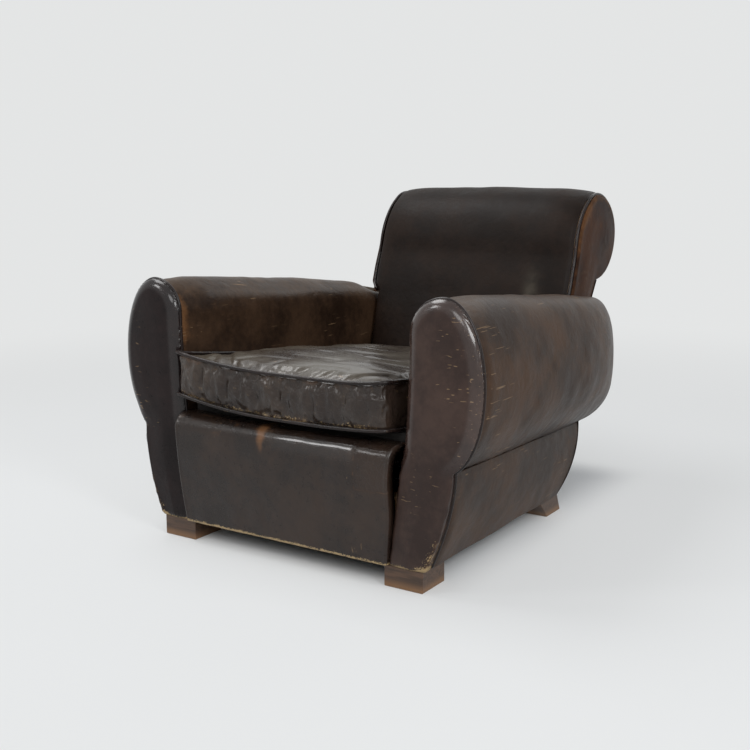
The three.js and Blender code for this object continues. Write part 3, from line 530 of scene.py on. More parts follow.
def arm_front(side, sign):
    """The pad's face: a grid between its two edges, rounded back at the rim and puffed in the middle."""
    heights = crowded(BASE_Z, ARM_HEIGHT - TOUCH, FACING_GRID[0])
    left = np.concatenate([inner_line(BASE_Z), corner_line[1:]])
    right = np.concatenate([roll_line[1:], outside_line[1:]])[::-1]
    x, z = between(left, right, heights, FACING_GRID[1])
    rim = edge_distance(x, z, spaced(arm_outline, OUTLINE_POINTS))
    high = smooth(z, PINCH_Z - 0.02, PINCH_Z + 0.05)
    width = FACING_LOW_RIM + (FACING_RIM - FACING_LOW_RIM) * high
    y = FRONT_Y + rounded(rim, width) * (1 - FACING_FLATNESS * high) + rounded(z - BASE_Z, FACING_HEM)
    y = y + FACING_PUFF * (1 - smooth(rim, 0, 0.06)) - FACING_LEAN * (1 - smooth(z, BASE_Z, PINCH_Z + 0.03))
    points = points_at(sign * x, y, z)
    y = y + FACING_WAVE * noise(points, 0.07, 3) * smooth(rim, 0, 0.02)
    face = points_at(sign * x, y, z)
    back = points_at(sign * x, np.full_like(y, FRONT_Y + FACING_DEPTH), z)
    low = 1 - smooth(z, BASE_Z, BASE_Z + 0.16)
    outer_edge = 1 - smooth(np.abs(x - np.interp(heights, right[:, 1], right[:, 0])[:, None]), 0.003, 0.028)
    values = {
        "worn": 0.25 * (1 - smooth(rim, 0, 0.012)) + 0.25 * low * outer_edge,
        "bare": 0.58 * low * outer_edge + 0.8 * (1 - smooth(z, BASE_Z + 0.002, BASE_Z + 0.012)),
        "creased": 0.05 + 0.1 * low,
        "polished": high * (1 - smooth(rim, 0.016, 0.026)),
        "scarred": 0.7 * high * smooth(x, ARM_ROLL_X, ARM_ROLL_X + 0.05),
    }
    # The left pad takes the copy of the leather with painted shade.
    hide = facing_leather if side == "right" else shaded_facing_leather
    slab(f"arm_front_pad_{side}", face, back, hide, f"arm_facing_{side}", values)


def offset_line(line, distance):
    """Line beside a line, to its right-hand side."""
    heading = unit(np.gradient(line, axis=0))
    return line + distance * points_at(heading[:, 1], -heading[:, 0])


def arm_front_piping(side, sign):
    """Cord behind the pad's rim, a little proud of the outline, open along the floor side."""
    line = offset_line(spaced(arm_outline, 260), PIPING_PROUD)
    line = line[line[:, 1] > BASE_Z + 0.001]
    y = FRONT_Y + FACING_DEPTH + TOUCH + PIPING_RADIUS
    path = points_at(sign * line[:, 0], np.full(len(line), y), line[:, 1])
    piping(f"arm_front_piping_{side}", path, (0, 1, 0), f"arm_piping_{side}")


for side, sign in SIDES:
    arm_front(side, sign)
    arm_front_piping(side, sign)

# Arms
# One hide goes from the deck up the inside of the arm, over the stuffed roll and down to the seam under it,
# where the outside panel starts. The roll falls towards the back and rounds in behind.
ARM_SEAM_FALL = 0.054
ARM_ROLL_TAPER = 0.086
ARM_NARROWING = 0.065
ARM_PADDING = 0.013
ARM_PADDING_RUN = 0.070
ARM_DOME = 0.290
ARM_DOME_CUT = 0.94
ARM_DOME_FALL = 0.1
ARM_DOME_X = 0.300
ARM_DOME_START = 0.280
ARM_SAG = 0.030
ARM_SAG_RUN = 0.150
ARM_SWELL = 0.006
ARM_GRID = (130, 150)
PANEL_GRID = (90, 60)
BOARD_BACK = 0.0443
ARM_START = FACING_DEPTH + 2 * TOUCH + 2 * PIPING_RADIUS
REAR_Y = 0.635
RAKE = 0.666
SKIN = 0.005
HIDE = 0.0035
TACK_Z = 0.292
PADDING_EDGE = (ARM_INNER_TOP + ARM_ROLL_X) / 2


def rear_y(z):
    """Depth of the chair's raked rear face, from the arm fronts."""
    return REAR_Y + RAKE * (z - BASE_Z)


def fallen(z, y):
    """Height that a point of the arm front has further back."""
    seam = PINCH_Z - ARM_SEAM_FALL * y
    upper = seam + (z - PINCH_Z) * (1 - ARM_ROLL_TAPER * y)
    lower = BASE_Z + (z - BASE_Z) * (seam - BASE_Z) / (PINCH_Z - BASE_Z)
    return np.where(z >= PINCH_Z, upper, lower)


def rounded_off(run):
    """Share of a quarter round that is gone where its run has come this far."""
    return 1 - np.sqrt(1 - run ** 2)


def dome_fall(z, cut):
    """How far a point of the roll falls in the rounded rear end."""
    return ARM_DOME_FALL * cut * np.maximum(z - PINCH_Z, 0)


def arm_end(z):
    """Depth of the arm's rear end for a height of its front."""
    height = fallen(z, rear_y(z)) - dome_fall(z, rounded_off(ARM_DOME_CUT))
    return rear_y(height) - SKIN - TOUCH


def arm_point(x, y, z):
    """A point of the arm front carried to a depth: falling, padded inside and rounded at the rear end."""
    outer = np.clip((x - ARM_INNER_TOP) / (ARM_PINCH_X - ARM_INNER_TOP), 0, 1)
    below = (z - BASE_Z) / (PINCH_Z - BASE_Z)
    above = np.clip(1 - (z - PINCH_Z) / ARM_ROLL_HALF_HEIGHT, 0, 1) ** 2
    pull = np.where(z < PINCH_Z, below, above)
    inner = smooth(PADDING_EDGE - x, 0, PADDING_EDGE - ARM_INNER_TOP)
    padding = ARM_PADDING * inner * smooth(y, BOARD_BACK, BOARD_BACK + ARM_PADDING_RUN)
    flat = x - ARM_NARROWING * y * outer * pull - padding
    into = np.clip((y - arm_end(z) + ARM_DOME) / ARM_DOME, 0, 1) * ARM_DOME_CUT
    domed = np.clip((z - PINCH_Z) / ARM_DOME_START, 0, 1)
    cut = rounded_off(into)
    across = flat - np.maximum(flat - ARM_DOME_X, 0) * domed * cut
    sagging = smooth(y, arm_end(z) - ARM_SAG_RUN, arm_end(z)) * smooth(z, ROLL_Z, ARM_HEIGHT)
    sag = ARM_SAG * sagging * smooth(across, ARM_INNER_TOP, ARM_INNER_TOP + 0.04)
    return points_at(across, y + FRONT_Y, fallen(z, y) - dome_fall(z, cut) - sag)


def arm_grid(line, rows):
    """Grid of a line of the arm front carried from the piping to the rear face."""
    share = np.sin(np.linspace(0, 1, rows) * np.pi * 0.44) / np.sin(np.pi * 0.44)
    x, z = line[:, 0], line[:, 1]
    y = ARM_START + (arm_end(z) - ARM_START) * share[:, None]
    return arm_point(np.broadcast_to(x, y.shape), y, np.broadcast_to(z, y.shape))


arm_leather = leather("arm_leather", (0.024, 0.0130, 0.0080, 1.0), (0.064, 0.0330, 0.0175, 1.0),
                      scratch=(260.0, 8.0, 260.0), rough=0.38, coat=0.03, spared=0.54, specular=0.11)


def arm_cover(side, sign):
    """The arm's surface, dented and tucked along the seam, with a second one a hide's thickness under it."""
    line = spaced(np.concatenate([inner_line(TACK_Z), corner_line[1:], roll_line[1:]]), ARM_GRID[1])
    grid = arm_grid(line, ARM_GRID[0])
    middle = np.array([0.36, 0, 0.4])
    normal = outward(grid, (grid - middle) * [1, 0, 1])
    depth = grid[..., 1] - FRONT_Y
    height = grid[..., 2]
    edge = smooth(depth, ARM_START, ARM_START + 0.03)
    seam = np.linspace(0, 1, len(line))[None] * np.ones_like(depth)
    near_seam = smooth(seam, 0.86, 1.0)
    tucked = near_seam * (0.5 + 0.5 * np.sin(depth * 150 + 3 * noise(grid, 0.05, 21)))
    dented = 0.0022 * noise(grid, 0.11, 5) + 0.0010 * noise(grid, 0.035, 6)
    sunk = 0.003 * (1 - edge)
    swell = ARM_SWELL * smooth(depth, ARM_START, 0.12) * (1 - smooth(depth, 0.45, 0.75))
    swell = swell * smooth(normal[..., 2], 0.1, 0.9)
    grid = grid + normal * (edge * dented + swell - 0.0015 * tucked * edge - sunk)[..., None]
    inside = grid - normal * HIDE
    facing_seat = smooth(-normal[..., 0], 0.3, 0.9)
    front = 1 - smooth(depth, 0.030, 0.062)
    values = {
        "worn": 0.75 * front * facing_seat * smooth(height, 0.41, 0.46) * (1 - smooth(height, 0.53, 0.57))
        + 0.16 * smooth(height, 0.47, 0.57) * smooth(normal[..., 2], 0.2, 0.9)
        + 0.12 * facing_seat * (1 - smooth(depth, 0.1, 0.6)),
        "bare": 0.22 * front * facing_seat,
        "creased": 0.12 + 0.35 * near_seam + 0.12 * facing_seat,
        "dust_and_sheen": 0.35 * smooth(normal[..., 2], 0.3, 0.95) + 0.12 * facing_seat,
        "scarred": (sign > 0) * (1 - smooth(depth, 0.10, 0.16)) * smooth(normal[..., 0], 0.3, 0.8),
    }
    slab(f"arm_hide_{side}", grid, inside, arm_leather, f"arm_cover_{side}", values, sign)


def outside_panel(side, sign):
    """The flat side below the seam, slightly uneven and sunk along its edges."""
    line = spaced(outside_line, PANEL_GRID[1])
    line[:, 1] -= 2 * TOUCH * np.linspace(1, 0, PANEL_GRID[1])
    grid = arm_grid(line, PANEL_GRID[0])
    normal = outward(grid, np.array([1.0, 0, 0]))
    depth = grid[..., 1] - FRONT_Y
    share = np.linspace(0, 1, PANEL_GRID[1])[None] * np.ones_like(depth)
    edge = smooth(share, 0, 0.06) * smooth(depth, ARM_START, ARM_START + 0.02)
    swell = 0.002 * noise(grid, 0.12, 8) + 0.0006 * noise(grid, 0.03, 9)
    grid = grid + normal * (edge * swell - 0.002 * (1 - edge))[..., None]
    inside = grid - normal * HIDE
    values = {
        "worn": 0.15 + 0.2 * smooth(share, 0.93, 1.0),
        "bare": 0.35 * smooth(share, 0.97, 1.0),
        "creased": 0.06 + 0.1 * (1 - edge),
    }
    slab(f"outside_arm_panel_{side}", grid, inside, arm_leather, f"outside_arm_{side}", values, sign)


for side, sign in SIDES:
    arm_cover(side, sign)
    outside_panel(side, sign)

# Back
# The back leans and ends in a roll. Its hide goes from the deck up the front, over the roll and down to the
# seam behind. Above the arms a flat pad is nailed to a shaped board at each side, with piping round it.
cover_low, cover_high = np.array(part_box("back_cover"))
BACK_COVER_HALF = cover_high[0]
BACK_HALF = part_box("back_side_facing_right")[1][0]
BACK_FACING_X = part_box("back_side_facing_right")[0][0]
BACK_FOOT_Z = cover_low[2]
BACK_SHOULDER_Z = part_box("back_side_facing_right")[0][2]
BACK_FOOT_Y = 0.728
BACK_FRONT_Y = 0.822
BACK_FRONT_Z = 0.612
BACK_LUMBAR = 0.009
BACK_CREST_Y = 0.965
BACK_CREST_Z = 0.754
BACK_ROLL_Z = 0.655
BACK_ROLL_REACH = 0.122
BACK_CROWN = 0.026
BACK_CROWN_POWER = 6
BACK_SET = 0.026
BACK_SET_RUN = 0.070
BACK_SHOULDER_RUN = 0.030
BACK_SPREAD = 0.009
BACK_LEFT_FLARE = 0.013
BACK_PILLOW = 0.006
BACK_EASING = 36
BACK_GRID = (240, 130)
BACK_SIDE_GRID = (130, 70)
OUTSIDE_BACK_GRID = (140, 110)
BACK_PINCH_Z = BASE_Z + (BACK_CREST_Y - REAR_Y) / RAKE


def back_front_line():
    """Side view of the back's front: a leaning straight line, hollowed by half a sine wave."""
    z = np.linspace(BACK_FOOT_Z, BACK_FRONT_Z, 60)
    height = (z - BACK_FOOT_Z) / (BACK_FRONT_Z - BACK_FOOT_Z)
    y = BACK_FOOT_Y + (BACK_FRONT_Y - BACK_FOOT_Y) * height - BACK_LUMBAR * np.sin(np.pi * height)
    return points_at(y, z)


shoulder_radii = (BACK_CREST_Y - BACK_FRONT_Y, BACK_CREST_Z - BACK_FRONT_Z)
over_radii = (BACK_ROLL_REACH, BACK_CREST_Z - BACK_ROLL_Z)
under_radii = (BACK_ROLL_REACH, BACK_ROLL_Z - BACK_PINCH_Z)
back_shoulder = arc((BACK_CREST_Y, BACK_FRONT_Z), shoulder_radii, np.pi, np.pi / 2, 50)
back_over = arc((BACK_CREST_Y, BACK_ROLL_Z), over_radii, np.pi / 2, 0, 50)
back_under = arc((BACK_CREST_Y, BACK_ROLL_Z), under_radii, 0, -np.pi / 2, 50)


def eased(line, passes):
    """The line with its bends softened: each point is averaged with its neighbours again and again."""
    line = line.copy()
    for _ in range(passes):
        line[1:-1] = (line[:-2] + 2 * line[1:-1] + line[2:]) / 4
    return line


back_sharp = np.concatenate([back_front_line(), back_shoulder[1:], back_over[1:], back_under[1:]])
back_line = eased(spaced(back_sharp, BACK_GRID[0]), BACK_EASING)
crest = int(np.argmax(back_line[:, 1]))


def back_point(x, y, z):
    """A point of the side outline at a distance across: the sides are lower and lie further back."""
    share = np.clip(np.abs(x) / BACK_HALF, 0, 1)
    full = np.sqrt(1 - share ** BACK_CROWN_POWER)
    high = np.clip((z - BACK_FRONT_Z) / (BACK_CREST_Z - BACK_FRONT_Z), 0, 1)
    behind = np.minimum(rear_y(z) - SKIN - 2 * TOUCH, BACK_CREST_Y)
    front = np.clip((behind - y) / BACK_SET_RUN, 0, 1)
    return points_at(x, y + FRONT_Y + BACK_SET * (1 - full) * front, z + BACK_CROWN * full * high)


def spread(z, sign=1):
    """How much wider than between the arms the back is at a height; its left side has sagged outwards."""
    above = smooth(z, BACK_SHOULDER_Z, BACK_SHOULDER_Z + BACK_SHOULDER_RUN)
    flare = BACK_LEFT_FLARE * (np.asarray(sign) < 0) * (1 - smooth(z, 0.55, 0.73))
    return above * (BACK_SPREAD + flare)


back_leather = leather("back_leather", (0.009, 0.0058, 0.0045, 1.0), (0.018, 0.0108, 0.0078, 1.0),
                       rough=0.46, coat=0.0, spared=0.72, specular=0.10)
back_side_leather = leather("back_side_leather", (0.020, 0.009, 0.006, 1.0), (0.056, 0.022, 0.010, 1.0),
                            rough=0.40, coat=0.0, specular=0.06)


def crowded_ends(count):
    """Shares from -1 to 1 that get closer together near both ends, as a sine wave does."""
    return np.sin(np.linspace(-1, 1, count) * np.pi / 2)


def back_cover():
    """The side outline carried across, with the points closer together near the piped edges."""
    across = crowded_ends(BACK_GRID[1])
    share, y = np.meshgrid(across, back_line[:, 0])
    z = np.meshgrid(across, back_line[:, 1])[1]
    x = share * (BACK_COVER_HALF + spread(z, share))
    grid = back_point(x, y, z)
    middle = np.array([0, BACK_CREST_Y + FRONT_Y, 0.5])
    normal = outward(grid, (grid - middle) * [0, 1, 1])
    share = np.abs(share)
    front = smooth(-normal[..., 1], 0.3, 0.8)
    pillow = BACK_PILLOW * (1 - share ** 3) * front
    edge = 1 - smooth(share, 0.96, 1.0)
    dents = 0.0030 * noise(grid, 0.14, 11) + 0.0012 * noise(grid, 0.05, 12)
    grid = grid + normal * (pillow + edge * dents - 0.004 * (1 - edge))[..., None]
    grid[..., 2] = np.minimum(grid[..., 2], cad_box[1][2] + 0.004)
    inside = grid - normal * HIDE
    values = {
        "worn": 0.12 * smooth(grid[..., 2], 0.70, 0.78),
        "creased": 0.08 + 0.1 * (1 - edge),
        # Painted highlight: a narrow pale vertical smear on the lower right of the back, painted into the
        # colour where a reflection would be.
        "dust_and_sheen": 1.2 * front * np.exp(-((x - 0.19) / 0.018) ** 2) * (1 - smooth(z, 0.50, 0.60)),
    }
    slab("back_hide", grid, inside, back_leather, "back_cover", values)


def back_side(side, sign):
    """Flat pad at the back's side: a grid between the front edge and the roll, rounded at its rim."""
    low = BACK_SHOULDER_Z
    front = back_line[:crest + 1]
    front = front[front[:, 1] > low - 0.006]
    behind_z = np.linspace(BACK_PINCH_Z, low, 20)[1:]
    behind = points_at(rear_y(behind_z) - SKIN - 2 * TOUCH, behind_z)
    rear = np.concatenate([back_line[crest + 1:], behind])[::-1]
    heights = crowded(low, back_line[crest, 1] - TOUCH, BACK_SIDE_GRID[0])
    y, z = between(front, rear, heights, BACK_SIDE_GRID[1])
    outline = spaced(np.concatenate([front, back_line[crest + 1:], behind]), OUTLINE_POINTS)
    rim = edge_distance(y, z, outline)
    wider = spread(z, sign) - spread(z)
    reach = BACK_HALF + wider - rounded(rim, 0.005) - 0.001 + 0.003 * smooth(rim, 0, 0.06)
    face = back_point(reach, y, z)
    back = back_point(BACK_FACING_X + spread(z, sign), y, z)
    face[..., 0] += 0.001 * noise(face, 0.06, 13) * smooth(rim, 0, 0.02)
    values = {
        "worn": 0.35 * (1 - smooth(rim, 0, 0.02)) + 0.25 * smooth(z, 0.6, 0.7),
        "bare": 0.15 * (1 - smooth(rim, 0, 0.006)),
        "creased": 0.1 * np.ones_like(z),
    }
    node = f"back_side_facing_{side}"
    slab(f"back_side_pad_{side}", face, back, back_side_leather, node, values, sign)


def back_piping(side, sign):
    """Cord between the hide and the side pad, from the shoulder over the roll to the seam behind."""
    start = int(np.argmax(back_line[:, 1] > BACK_SHOULDER_Z + PIPING_RADIUS))
    line = offset_line(spaced(back_line[start:], 220), PIPING_PROUD)
    x = (BACK_COVER_HALF + BACK_FACING_X) / 2 + spread(line[:, 1], sign)
    path = back_point(x, line[:, 0], line[:, 1]) * np.array([sign, 1, 1])
    piping(f"back_piping_cord_{side}", path, (1, 0, 0), f"back_piping_{side}")


back_cover()
for side, sign in SIDES:
    back_side(side, sign)
    back_piping(side, sign)


def outside_back():
    """Panel on the raked rear face, as wide as the body below and as the back above."""
    front = np.concatenate([roll_line, outside_line[1:]])[::-1]
    rear = arm_point(front[:, 0], arm_end(front[:, 1]), front[:, 1])
    heights = np.linspace(BASE_Z, BACK_PINCH_Z - TOUCH, OUTSIDE_BACK_GRID[0])
    beside_arms = np.interp(heights, rear[:, 2], rear[:, 0])
    half = np.where(heights < rear[-1, 2], beside_arms, BACK_HALF)
    x = half[:, None] * crowded_ends(OUTSIDE_BACK_GRID[1])
    z = np.broadcast_to(heights[:, None], x.shape)
    y = rear_y(z) + FRONT_Y
    grid = points_at(x, y, z)
    edge = np.minimum(half[:, None] - np.abs(x), z - BASE_Z)
    push = 0.002 * noise(grid, 0.13, 15) * smooth(edge, 0, 0.03) - rounded(edge, 0.003)
    grid[..., 1] += push - 0.001
    inside = grid - np.array([0, HIDE, 0])
    values = {
        "worn": 0.1 * np.ones_like(x),
        "bare": 0.35 * (1 - smooth(z, BASE_Z, BASE_Z + 0.01)),
        "creased": 0.06 * np.ones_like(x),
    }
    slab("outside_back_panel", grid, inside, back_leather, "outside_back", values)


outside_back()

# Seat deck and apron
# Under the cushion a stuffed deck in black cloth covers the springs. The apron is a stuffed leather border on
# the front rail: round and shiny along its top, nailed below, dull and dented at its worn right corner.
deck_low, deck_high = np.array(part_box("seat_deck"))
apron_low, apron_high = np.array(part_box("front_apron"))
DECK_SLOPE = 0.08
DECK_TOP_Z = 0.3137
APRON_EDGE = 0.034
APRON_BELLY = 0.009
APRON_GAP = 0.0006
APRON_TORN_GAP = 0.012
APRON_SIDE_ROUND = 0.006
APRON_GRID = (130, 150)
DECK_DEPTH = 0.030


def deck_material():
    """Black cloth whose threads are a fine noise, longer one way."""
    paint = Paint("deck_cloth")
    weave = paint.noise(900.0, 2.0, paint.stretched((1.0, 0.35, 1.0)))
    paint.relief(weave * 0.0003)
    colour = paint.blend(weave, (0.008, 0.007, 0.006, 1.0), (0.022, 0.019, 0.016, 1.0))
    return paint.finish(Base_Color=colour, Roughness=0.9)


def seat_deck():
    """A pad that slopes down to the back, its top waved by noise."""
    x, y = np.meshgrid(np.linspace(deck_low[0], deck_high[0], 80), np.linspace(deck_low[1], deck_high[1], 90))
    top = DECK_TOP_Z - DECK_SLOPE * (y - FRONT_Y)
    grid = points_at(x, y, top)
    grid[..., 2] -= 0.0006 + 0.0010 * (1 + noise(grid, 0.06, 17))
    under = points_at(x, y, top - DECK_DEPTH)
    piece = slab("deck_pad", grid, under, deck_material(), "seat_deck", {})


apron_leather = leather("apron_leather", (0.017, 0.0110, 0.0088, 1.0), (0.036, 0.0210, 0.0140, 1.0),
                        scratch=(260.0, 260.0, 45.0), rough=0.29, folds=0.6, coat=0.3, spared=0.6)


def front_apron():
    """Side profile of the apron carried from one arm front to the other, rounded back at both ends."""
    foot = apron_low[2]
    front = apron_low[1] - FRONT_Y
    top = apron_high[2]
    shoulder = (front + APRON_EDGE, top - APRON_EDGE)
    bulge = (front - APRON_BELLY / 3, (foot + shoulder[1]) / 2)
    face = curve((front + APRON_BELLY, foot), bulge, (front, shoulder[1]), 60)
    edge = arc(shoulder, (APRON_EDGE, APRON_EDGE), np.pi, np.pi / 2, 40)
    line = spaced(np.concatenate([face, edge[1:], [(BOARD_BACK, top)]]), APRON_GRID[0])
    share = crowded_ends(APRON_GRID[1])
    y = np.broadcast_to(line[:, :1], APRON_GRID)
    z = np.broadcast_to(line[:, 1:], APRON_GRID)
    half = inner_x(z) - APRON_GAP
    shrunk = APRON_TORN_GAP * smooth(z, 0.13, 0.24) * smooth(share, 0.6, 1.0)
    x = half * share - shrunk
    side = half * (1 - np.abs(share))
    back = rounded(side, APRON_SIDE_ROUND) * smooth(BOARD_BACK - y, 0, 0.02)
    down = rounded(side, APRON_SIDE_ROUND) * smooth(z, top - 0.04, top)
    grid = points_at(x, y + FRONT_Y + back, z - down)
    normal = outward(grid, np.array([0, -1.0, 0.6]))
    sag = 0.0022 * noise(grid, 0.10, 19) + 0.0009 * noise(grid, 0.03, 20)
    corner = smooth(x, 0.188, 0.198) * smooth(z, 0.196, 0.202)
    torn = np.clip(corner + 0.5 * noise(grid, 0.012, 23) * (corner > 0) * (corner < 1), 0, 1)
    inner = smooth(side, 0, 0.012)
    near_top = smooth(z, top - 0.075, top - 0.01)
    grid = grid + normal * (sag * inner - 0.0016 * torn * inner)[..., None]
    grid[..., 2] = np.minimum(grid[..., 2], top + 0.004)
    deeper = (0.020 * smooth(BOARD_BACK - y, 0.024, 0.034))[..., None]
    lower = smooth(z, top - 0.03, top)[..., None]
    inside = grid + np.array([0, 1, 0]) * (0.002 + deeper) - np.array([0, 0, 0.004]) * lower
    streak = np.exp(-((x + 0.045 + 0.03 * (z - 0.26)) / 0.012) ** 2) * smooth(z, 0.21, 0.28)
    hem = 1 - smooth(z, foot + 0.002, foot + 0.010)
    patchy = 0.4 + 0.6 * noise(grid * [1, 1, 0.3], 0.02, 24)
    rubbed = 0.55 * near_top * (1 - smooth(x, -0.02, 0.06)) * patchy
    torn_rim = 0.45 * np.exp(-((torn - 0.5) / 0.3) ** 2) * (corner > 0.01)
    values = {
        "worn": rubbed + 0.8 * streak + torn_rim,
        "bare": 0.68 * hem + 0.25 * streak + 0.2 * (1 - smooth(z, foot, foot + 0.02)),
        "creased": 0.12 + 0.5 * torn + 0.1 * near_top,
        "polished": 0.8 * smooth(z, top - 0.05, top - 0.02) * smooth(x, -0.05, 0.02) * (1 - torn),
    }
    piece = slab("apron_border", grid, inside, apron_leather, "front_apron", values)


seat_deck()
front_apron()

# Seat cushion
# A loose box cushion of two hides and a border, piped along both edges. It has lost some filling: its middle
# is pressed down, the front corners stand up and the front border is full of creases.
cushion_low, cushion_high = np.array(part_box("seat_cushion"))
CUSHION_SHIFT = -0.005
CUSHION_FLARE = 0.014
CUSHION_HALF = 0.271
CUSHION_FRONT = cushion_low[1]
CUSHION_END = cushion_high[1]
CUSHION_BOTTOM_Z = 0.314
CUSHION_SLOPE = 0.08
CUSHION_THICKNESS = 0.104
CUSHION_THINNING = 0.015
CUSHION_CORNER = 0.024
CUSHION_SHRINK = 0.006
CUSHION_CROWN = 0.016
CUSHION_CREASES = 0.009
VOXEL = 0.0055
PRESSURE = 4.0
SLACK = 0.04
MOST_MOVE = 0.012
SETTLING_FRAMES = 20


def cushion_bottom(x, y):
    """Height of the lower edge: on the deck, but drooping and lifted left where it overhangs."""
    overhang = 1 - smooth(y, CUSHION_FRONT + 0.01, FRONT_Y + 0.05)
    left = np.clip(-x / CUSHION_HALF, 0, 1) ** 2.2
    right = np.clip(x / CUSHION_HALF, 0, 1) ** 3
    lift = -0.006 + 0.024 * left + 0.010 * right
    return CUSHION_BOTTOM_Z - CUSHION_SLOPE * (y - FRONT_Y) + overhang * lift


def cushion_top(x, y):
    """Height of the upper edge, with the same droop fading out towards the back."""
    thickness = CUSHION_THICKNESS - CUSHION_THINNING * (y - FRONT_Y)
    fade = np.exp(-np.clip(y - CUSHION_FRONT, 0, 1) / 0.16)
    left = np.clip(-x / CUSHION_HALF, 0, 1) ** 2.2
    right = np.clip(x / CUSHION_HALF, 0, 1) ** 5
    plain = CUSHION_BOTTOM_Z - CUSHION_SLOPE * (y - FRONT_Y) + thickness
    return plain + fade * (-0.009 + 0.022 * left + 0.013 * right)


def cushion_plan(grow, count):
    """Outline of the cushion seen from above: a rectangle with round corners."""
    half = CUSHION_HALF + grow
    front, end = CUSHION_FRONT - grow, CUSHION_END + grow
    radius = CUSHION_CORNER + grow
    middles = [(half - radius, front + radius), (half - radius, end - radius),
               (radius - half, end - radius), (radius - half, front + radius)]
    turns = np.arange(-1, 4) * np.pi / 2
    corners = [arc(middle, (radius, radius), turns[k], turns[k + 1], 20) for k, middle in enumerate(middles)]
    ring = np.concatenate([*corners, corners[0][:1]])
    ring = spaced(ring, count + 1)[:-1]
    in_front = 1 - smooth(ring[:, 1], FRONT_Y - 0.008, FRONT_Y + 0.030)
    ring[:, 0] += CUSHION_SHIFT - CUSHION_FLARE * smooth(-ring[:, 0], 0.10, CUSHION_HALF) * in_front
    return ring


def cushion_block():
    """Closed block from rings: the bottom, the straight border and the crowned top."""
    outline = cushion_plan(-CUSHION_SHRINK, 240)
    middle = outline.mean(axis=0)
    inwards = [0.0, 0.25, 0.5, 0.75, 0.9, 1.0]
    rings = []
    for share in inwards:
        flat = middle + (outline - middle) * share
        rings.append(np.column_stack([flat, cushion_bottom(*flat.T) + CUSHION_SHRINK * 0.7]))
    for share in inwards[::-1]:
        flat = middle + (outline - middle) * share
        crown = CUSHION_CROWN * (1 - share ** 2.5)
        rings.append(np.column_stack([flat, cushion_top(*flat.T) - CUSHION_SHRINK * 0.7 + crown]))
    rings = np.array(rings[1:-1])
    count, sides = rings.shape[:2]
    index = np.arange(count * sides).reshape(count, sides)
    wrapped = np.concatenate([index, index[:, :1]], axis=1)
    return rings.reshape(-1, 3), [*quads(wrapped), index[0][::-1], index[-1]]


def near_seams(points, reach):
    """1 on the cushion's two piped edges, falling to 0 at a distance."""
    x, y, z = points.T
    ring = cushion_plan(-CUSHION_SHRINK, 600)
    flat = np.sqrt(np.min(np.sum((points[:, None, :2] - ring) ** 2, axis=-1), axis=-1))
    height = np.minimum(np.abs(z - cushion_top(x, y)), np.abs(z - cushion_bottom(x, y)))
    return 1 - smooth(np.hypot(flat, height), reach * 0.5, reach)


def points_of(mesh):
    """All vertices of a mesh as one array."""
    flat = np.empty(len(mesh.vertices) * 3)
    mesh.vertices.foreach_get("co", flat)
    return flat.reshape(-1, 3)


def inflate(piece):
    """Remeshes the block, lets cloth under pressure settle with its seams held, and keeps the result."""
    remesh = piece.modifiers.new("remesh", "REMESH")
    remesh.mode = "VOXEL"
    remesh.voxel_size = VOXEL
    depsgraph = bpy.context.evaluated_depsgraph_get()
    start = bpy.data.meshes.new_from_object(piece.evaluated_get(depsgraph))
    piece.modifiers.clear()
    piece.data = start
    before = points_of(start)
    group = piece.vertex_groups.new(name="held")
    weights = np.round(near_seams(before, 0.016), 1)
    for weight in np.unique(weights):
        chosen = np.flatnonzero(weights == weight)
        group.add(chosen.tolist(), float(weight), "REPLACE")
    cloth = piece.modifiers.new("cloth", "CLOTH")
    cloth.settings.use_pressure = True
    cloth.settings.uniform_pressure_force = PRESSURE
    cloth.settings.effector_weights.gravity = 0
    cloth.settings.vertex_group_mass = "held"
    cloth.settings.shrink_min = -SLACK
    cloth.settings.bending_stiffness = 0.4
    cloth.settings.mass = 0.4
    cloth.collision_settings.use_collision = False
    cloth.point_cache.frame_start = 1
    cloth.point_cache.frame_end = SETTLING_FRAMES
    for moment in range(1, SETTLING_FRAMES + 1):
        bpy.context.scene.frame_set(moment)
    depsgraph = bpy.context.evaluated_depsgraph_get()
    settled = points_of(piece.evaluated_get(depsgraph).data)
    piece.modifiers.clear()
    piece.vertex_groups.clear()
    bpy.context.scene.frame_set(1)
    move = settled - before
    length = np.linalg.norm(move, axis=1, keepdims=True)
    move *= np.minimum(1, MOST_MOVE / np.maximum(length, 1e-9))
    start.vertices.foreach_set("co", (before + move).ravel())
    start.update()


cushion_leather = leather("cushion_leather", (0.024, 0.0155, 0.0120, 1.0), (0.055, 0.0360, 0.0260, 1.0),
                          scratch=(40.0, 40.0, 260.0), rough=0.30, folds=1.6,
                          wrinkle_run=(1.0, 1.0, 0.45), coat=0.3, spared=0.6)


